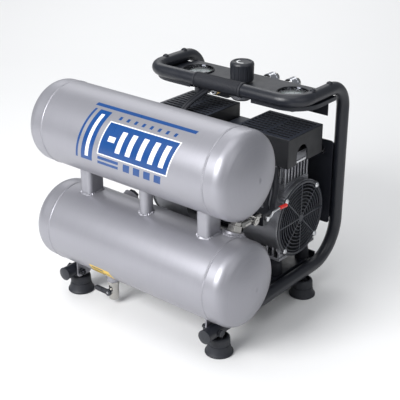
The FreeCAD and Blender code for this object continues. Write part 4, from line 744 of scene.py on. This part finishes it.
class COMPRESSOR_OT_knob(bpy.types.Operator):
    """Finish the regulator knob and print the turning arrow on it"""

    bl_idname = "compressor.knob"
    bl_label = "Regulator knob"

    def execute(self, context):
        coat("regulator_knob")
        low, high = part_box("regulator_knob")
        centre = Vector(((low.x + high.x) / 2, (low.y + high.y) / 2, high.z - 1.5 * MM))
        inner, outer, thick = 8.6 * MM, 11.4 * MM, 0.35 * MM
        barb, point = 1.4 * MM, 4.6 * MM
        start, sweep = math.radians(150), math.radians(150)
        bm = bmesh.new()
        turn = Matrix.Rotation(start, 3, "Z")
        ends = [bm.verts.new(centre + turn @ Vector((reach, 0, 0))) for reach in (inner, outer)]
        edge = bm.edges.new(ends)
        bmesh.ops.spin(bm, geom=[*ends, edge], cent=centre, axis=(0, 0, 1), angle=sweep, steps=24)
        tip = Matrix.Rotation(start + sweep, 3, "Z")
        middle = (inner + outer) / 2
        head = [bm.verts.new(centre + tip @ Vector(corner)) for corner in
                ((inner - barb, 0, 0), (outer + barb, 0, 0), (middle, point, 0))]
        bm.faces.new(head)
        bmesh.ops.recalc_face_normals(bm, faces=bm.faces[:])
        raised = bmesh.ops.extrude_face_region(bm, geom=bm.faces[:])["geom"]
        lifted = [item for item in raised if isinstance(item, bmesh.types.BMVert)]
        bmesh.ops.translate(bm, verts=lifted, vec=(0, 0, thick))
        bmesh.ops.recalc_face_normals(bm, faces=bm.faces[:])
        piece("knob_arrow", bm, "dial_white", body="regulator_knob",
              material=painted("arrow print", (0.72, 0.73, 0.74), 0.35, 900.0, 0.02 * MM))
        return {"FINISHED"}


class COMPRESSOR_OT_couplers(bpy.types.Operator):
    """Finish the two quick couplers"""

    bl_idname = "compressor.couplers"
    bl_label = "Quick couplers"

    def execute(self, context):
        coat("coupler_bodies", "left_coupler_sleeve", "right_coupler_sleeve")
        return {"FINISHED"}


# ---------------------------------------------------------------- pump set
class COMPRESSOR_OT_pump(bpy.types.Operator):
    """Finish the motor, the castings and the pieces inside them"""

    bl_idname = "compressor.pump"
    bl_label = "Pump set"

    def execute(self, context):
        coat("motor_shell", "stator", "rotor", "crankshaft", "bearings", "crankcases",
             "cylinders", "valve_plates", "left_piston", "right_piston", "crossover_tube",
             "grille_screws")
        coat("cylinder_heads", material=head_casting())
        return {"FINISHED"}


class COMPRESSOR_OT_fans(bpy.types.Operator):
    """Make both fans: a rounded hub with twisted, cambered blades"""

    bl_idname = "compressor.fans"
    bl_label = "Fans"

    def execute(self, context):
        low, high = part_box("fans")
        axis = Vector((0, (low.y + high.y) / 2, (low.z + high.z) / 2))
        tip, hub, width = (high.z - low.z) / 2, 15 * MM, 22 * MM
        root, gap = hub * 0.8, 1.5 * MM
        root_pitch, twist = 52, 26
        root_chord, belly, bulge, set_back = 19 * MM, 13 * MM, 2.6 * MM, 1.3 * MM
        middle = high.x - width / 2
        bm = bmesh.new()
        disc(bm, at((middle - width / 2, axis.y, axis.z), "X"), hub, width, 2 * MM, 48)
        for step in range(sizes().blades):
            blade = bmesh.new()
            bmesh.ops.create_grid(blade, x_segments=8, y_segments=10, size=0.5)
            for vert in blade.verts:
                across, out = vert.co.x, vert.co.y + 0.5
                reach = root + out * (tip - gap - root)
                pitch = math.radians(root_pitch - twist * out)
                chord = root_chord + belly * math.sin(math.pi * min(out, 0.75))
                chord = min(chord, 0.92 * width / math.sin(pitch))
                camber = bulge * (1 - 4 * across ** 2)
                vert.co = (across * chord * math.sin(pitch) + camber * math.cos(pitch) - set_back,
                           across * chord * math.cos(pitch) - camber * math.sin(pitch), reach)
            bmesh.ops.solidify(blade, geom=blade.faces[:], thickness=sizes().blade)
            bmesh.ops.recalc_face_normals(blade, faces=blade.faces[:])
            bmesh.ops.rotate(blade, verts=blade.verts[:], cent=(0, 0, 0),
                             matrix=Matrix.Rotation(math.tau * step / sizes().blades, 3, "X"))
            bmesh.ops.translate(blade, verts=blade.verts[:], vec=(middle, axis.y, axis.z))
            mesh = bpy.data.meshes.new("blade")
            blade.to_mesh(mesh)
            blade.free()
            bm.from_mesh(mesh)
        flip_copy(bm)
        piece("fan_wheels", bm, "black_plastic", body="rotor_set", replaces=["fans"],
              material=painted("fan black", times(colours().plastic, 0.45), 0.5, 1700.0,
                               0.06 * MM))
        return {"FINISHED"}


class COMPRESSOR_OT_grilles(bpy.types.Operator):
    """Make both fan grilles: round rings on rounded spokes, with ears for the screws"""

    bl_idname = "compressor.grilles"
    bl_label = "Fan grilles"

    def execute(self, context):
        low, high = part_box("fan_grilles")
        axis_y, axis_z = (low.y + high.y) / 2, (low.z + high.z) / 2
        outer, depth, band = (high.z - low.z) / 2, 2.6 * MM, 3.3 * MM
        screws_low, screws_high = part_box("grille_screws")
        head = 5.8 * MM
        ear_y = (screws_high.y - screws_low.y) / 2 - head
        ear_z = (screws_high.z - screws_low.z) / 2 - head
        wire, face = sizes().grille_wire, high.x
        hub, hub_overlap, spoke, ear = 8 * MM, 6 * MM, 3 * MM, 6.5 * MM
        centre = Vector((face - depth / 2, axis_y, axis_z))
        bm = bmesh.new()
        rim = ring(bm, at(centre, "X"), outer - band, band, steps=96, sides=12)
        bmesh.ops.scale(bm, vec=(depth / (2 * band), 1, 1), verts=rim,
                        space=Matrix.Translation(-centre))
        radius = outer - 2 * band - sizes().grille_pitch / 2
        while radius > hub + MM:
            ring(bm, at(centre, "X"), radius, wire, steps=80, sides=8)
            radius -= sizes().grille_pitch
        disc(bm, at((face - depth, axis_y, axis_z), "X"), hub, depth, 0.7 * MM, 40)
        for step in range(8):
            turn = Matrix.Rotation(math.radians(45 * step), 4, "X")
            reach = (outer - band + hub_overlap) / 2
            place = Matrix.Translation(centre) @ turn @ Matrix.Translation((0, 0, reach))
            slab(bm, place, (depth * 0.92, spoke, outer - band - hub_overlap), 0.6 * MM)
        for y in (-ear_y, ear_y):
            for z in (-ear_z, ear_z):
                disc(bm, at((face - depth, axis_y + y, axis_z + z), "X"), ear, depth,
                     0.6 * MM, 28)
        flip_copy(bm)
        black = colours().plastic
        # The grille's edge colour, six times its black, is partly rubbed wear and partly a painted
        # edge highlight.
        piece("grille_rings", bm, "black_plastic", replaces=["fan_grilles"],
              material=painted("grille black", times(black, 1.5), 0.34, 1700.0, 0.03 * MM,
                               edge=times(black, 6.0)))
        return {"FINISHED"}


class COMPRESSOR_OT_shrouds(bpy.types.Operator):
    """Give the shrouds and the cover between them their moulded black, with painted shade on the
    walls and a painted highlight on the tops
    """

    bl_idname = "compressor.shrouds"
    bl_label = "Shrouds"

    def execute(self, context):
        coat("shrouds", "middle_cover", material=moulded_shroud())
        return {"FINISHED"}


# ---------------------------------------------------------------- air lines
class COMPRESSOR_OT_air_line(bpy.types.Operator):
    """Finish the check valve, the valve block and its lever"""

    bl_idname = "compressor.air_line"
    bl_label = "Check valve line"

    def execute(self, context):
        coat("check_valve", "isolating_valve_body", "isolating_lever", "lever_sleeve")
        return {"FINISHED"}


def line_piece(name, lines, radius, node):
    """Join several round lines in one piece that stands for a CAD node."""
    bm = bmesh.new()
    for points in lines:
        bm.from_mesh(line_mesh(name, points, radius))
    outward(bm)
    piece(name, bm, "black_rubber", replaces=[node], sharp=60)


HOSE_PITCH, HOSE_INSET, HOSE_SHIFT = 12.6 * MM, 24 * MM, 0.45
HOSE_DROP, HOSE_BENDS, HOSE_ENTRY = (0, 0, -22), ((14, -20, -42), (26, -47, -59)), (0, 20, 0)


class COMPRESSOR_OT_hoses(bpy.types.Operator):
    """Bend the pair of hoses from the right head down to the valve block"""

    bl_idname = "compressor.hoses"
    bl_label = "Discharge hoses"

    def execute(self, context):
        block_low, block_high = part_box("isolating_valve_body")
        head_low, head_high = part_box("cylinder_heads")
        start = Vector((head_high.x - HOSE_INSET, head_low.y + sizes().hose, head_low.z))
        end = Vector(((block_low.x + block_high.x) / 2 - MM, block_high.y,
                      (block_low.z + block_high.z) / 2 + MM))
        lines = []
        for side in (-0.5, 0.5):
            level = Vector((side * HOSE_PITCH, 0, 0))
            shift = Vector((side * HOSE_PITCH, side * HOSE_PITCH * HOSE_SHIFT, 0))
            lines.append([start + level, start + level + Vector(HOSE_DROP) * MM,
                          *(start + shift + Vector(bend) * MM for bend in HOSE_BENDS),
                          end + level + Vector(HOSE_ENTRY) * MM, end + level])
        line_piece("hose_pair", lines, sizes().hose, "discharge_hoses")
        return {"FINISHED"}


# control points of the leads' middle line, in millimetres, from the switch to the motor
LEAD_ROUTE = ((-65, 128, 384), (-65, 108, 384), (-76, 78, 371), (-88, 53, 352), (-92, 43, 322),
              (-88, 42, 288), (-70, 50, 262), (-50, 64, 249), (-50, 64, 226))


class COMPRESSOR_OT_leads(bpy.types.Operator):
    """Run the two leads over the left shroud from the switch to the motor"""

    bl_idname = "compressor.leads"
    bl_label = "Control leads"

    def execute(self, context):
        radius, pitch = sizes().lead, 9.6 * MM
        lines = []
        for side in (-0.5, 0.5):
            level = Vector((side * pitch, 0, 0))
            shift = Vector((side * pitch * 0.9, -side * pitch * 0.45, 0))
            lines.append([Vector(point) * MM + (level if index < 2 else shift)
                          for index, point in enumerate(LEAD_ROUTE)])
        line_piece("lead_pair", lines, radius, "control_leads")
        return {"FINISHED"}


class COMPRESSOR_OT_drain_valve(bpy.types.Operator):
    """Finish the drain valve under the lower tank"""

    bl_idname = "compressor.drain_valve"
    bl_label = "Drain valve"

    def execute(self, context):
        coat("drain_valve_body", "drain_ball", "drain_lever")
        return {"FINISHED"}


# ---------------------------------------------------------------- stage
MIDDLE = (0.0, 0.0, 0.22)
# name, azimuth and elevation in degrees, distance and size in metres, watts, aim
LAMPS = (("key", -7.0, 32.0, 2.2, 1.1, 54.0, MIDDLE),
         ("right_fill", 78.0, 30.0, 2.2, 1.3, 5.0, MIDDLE),
         ("top", 20.0, 82.0, 2.0, 1.6, 13.0, MIDDLE),
         ("floor_far", 180.0, 90.0, 2.4, 3.0, 56.0, (-1.9, 2.3, 0.0)))
SKY, SKY_STRENGTH = (0.93, 0.96, 1.0, 1.0), 0.35
SENSOR, LENS = 36.0, 85.05
CAMERA_PLACE, CAMERA_TURN = (1.0785, -1.3070, 0.9787), (65.15, 0.0, 39.55)


def lamp(name, azimuth, elevation, distance, size, energy, aim):
    """A square soft light that looks at a point."""
    turn, rise = math.radians(azimuth), math.radians(elevation)
    away = Vector((math.sin(turn) * math.cos(rise), -math.cos(turn) * math.cos(rise),
                   math.sin(rise)))
    data = bpy.data.lights.new(name, "AREA")
    data.size, data.energy = size, energy
    light = bpy.data.objects.new(name, data)
    light.location = Vector(aim) + away * distance
    light.rotation_euler = away.to_track_quat("Z", "Y").to_euler()
    bpy.context.scene.collection.objects.link(light)


class COMPRESSOR_OT_stage(bpy.types.Operator):
    """Make the floor, the studio light and the camera"""

    bl_idname = "compressor.stage"
    bl_label = "Stage"

    def execute(self, context):
        scene = context.scene
        bm = bmesh.new()
        bmesh.ops.create_grid(bm, x_segments=1, y_segments=1, size=12.0)
        mesh = bpy.data.meshes.new("floor")
        bm.to_mesh(mesh)
        bm.free()
        floor = bpy.data.objects.new("floor", mesh)
        floor_finish = Finish("floor", (0.9, 0.9, 0.9), 0.75)
        cloud = floor_finish.noise(1.5, 2.0)
        floor_finish.feed(floor_finish.shader, {"Base Color": floor_finish.blend(
            cloud, (0.86, 0.86, 0.865), (0.89, 0.89, 0.89))})
        mesh.materials.append(floor_finish.material)
        scene.collection.objects.link(floor)
        world = bpy.data.worlds.new("studio")
        world.use_nodes = True
        background = world.node_tree.nodes["Background"]
        background.inputs["Color"].default_value = SKY
        background.inputs["Strength"].default_value = SKY_STRENGTH
        scene.world = world
        scene.view_settings.view_transform = "Standard"
        for settings in LAMPS:
            lamp(*settings)
        camera = bpy.data.objects.new("camera", bpy.data.cameras.new("camera"))
        camera.data.sensor_width, camera.data.lens = SENSOR, LENS
        camera.location = CAMERA_PLACE
        camera.rotation_euler = [math.radians(angle) for angle in CAMERA_TURN]
        scene.collection.objects.link(camera)
        scene.camera = camera
        return {"FINISHED"}


OPERATORS = (
    COMPRESSOR_OT_tanks, COMPRESSOR_OT_tube_frame, COMPRESSOR_OT_grip, COMPRESSOR_OT_feet,
    COMPRESSOR_OT_console, COMPRESSOR_OT_gauges, COMPRESSOR_OT_knob, COMPRESSOR_OT_couplers,
    COMPRESSOR_OT_pump, COMPRESSOR_OT_fans, COMPRESSOR_OT_grilles, COMPRESSOR_OT_shrouds,
    COMPRESSOR_OT_air_line, COMPRESSOR_OT_hoses, COMPRESSOR_OT_leads,
    COMPRESSOR_OT_drain_valve, COMPRESSOR_OT_stage,
)


class COMPRESSOR_PT_panel(bpy.types.Panel):
    """Lists the machine's pieces, colours and sizes"""

    bl_idname = "COMPRESSOR_PT_panel"
    bl_label = "Air compressor"
    bl_space_type = "VIEW_3D"
    bl_region_type = "UI"
    bl_category = "Compressor"

    def draw(self, context):
        for operator in OPERATORS:
            self.layout.operator(operator.bl_idname)
        for group in (context.scene.compressor_colours, context.scene.compressor_sizes):
            box = self.layout.box()
            for name in group.bl_rna.properties.keys():
                if name not in {"rna_type", "name"}:
                    box.prop(group, name)


CLASSES = (CompressorColours, CompressorSizes, *OPERATORS, COMPRESSOR_PT_panel)


def register():
    for each in CLASSES:
        bpy.utils.register_class(each)
    bpy.types.Scene.compressor_colours = PointerProperty(type=CompressorColours)
    bpy.types.Scene.compressor_sizes = PointerProperty(type=CompressorSizes)


def unregister():
    del bpy.types.Scene.compressor_sizes
    del bpy.types.Scene.compressor_colours
    for each in reversed(CLASSES):
        bpy.utils.unregister_class(each)


def main():
    register()
    for operator in OPERATORS:
        group, name = operator.bl_idname.split(".")
        getattr(getattr(bpy.ops, group), name)()


if __name__ == "__main__":
    main()
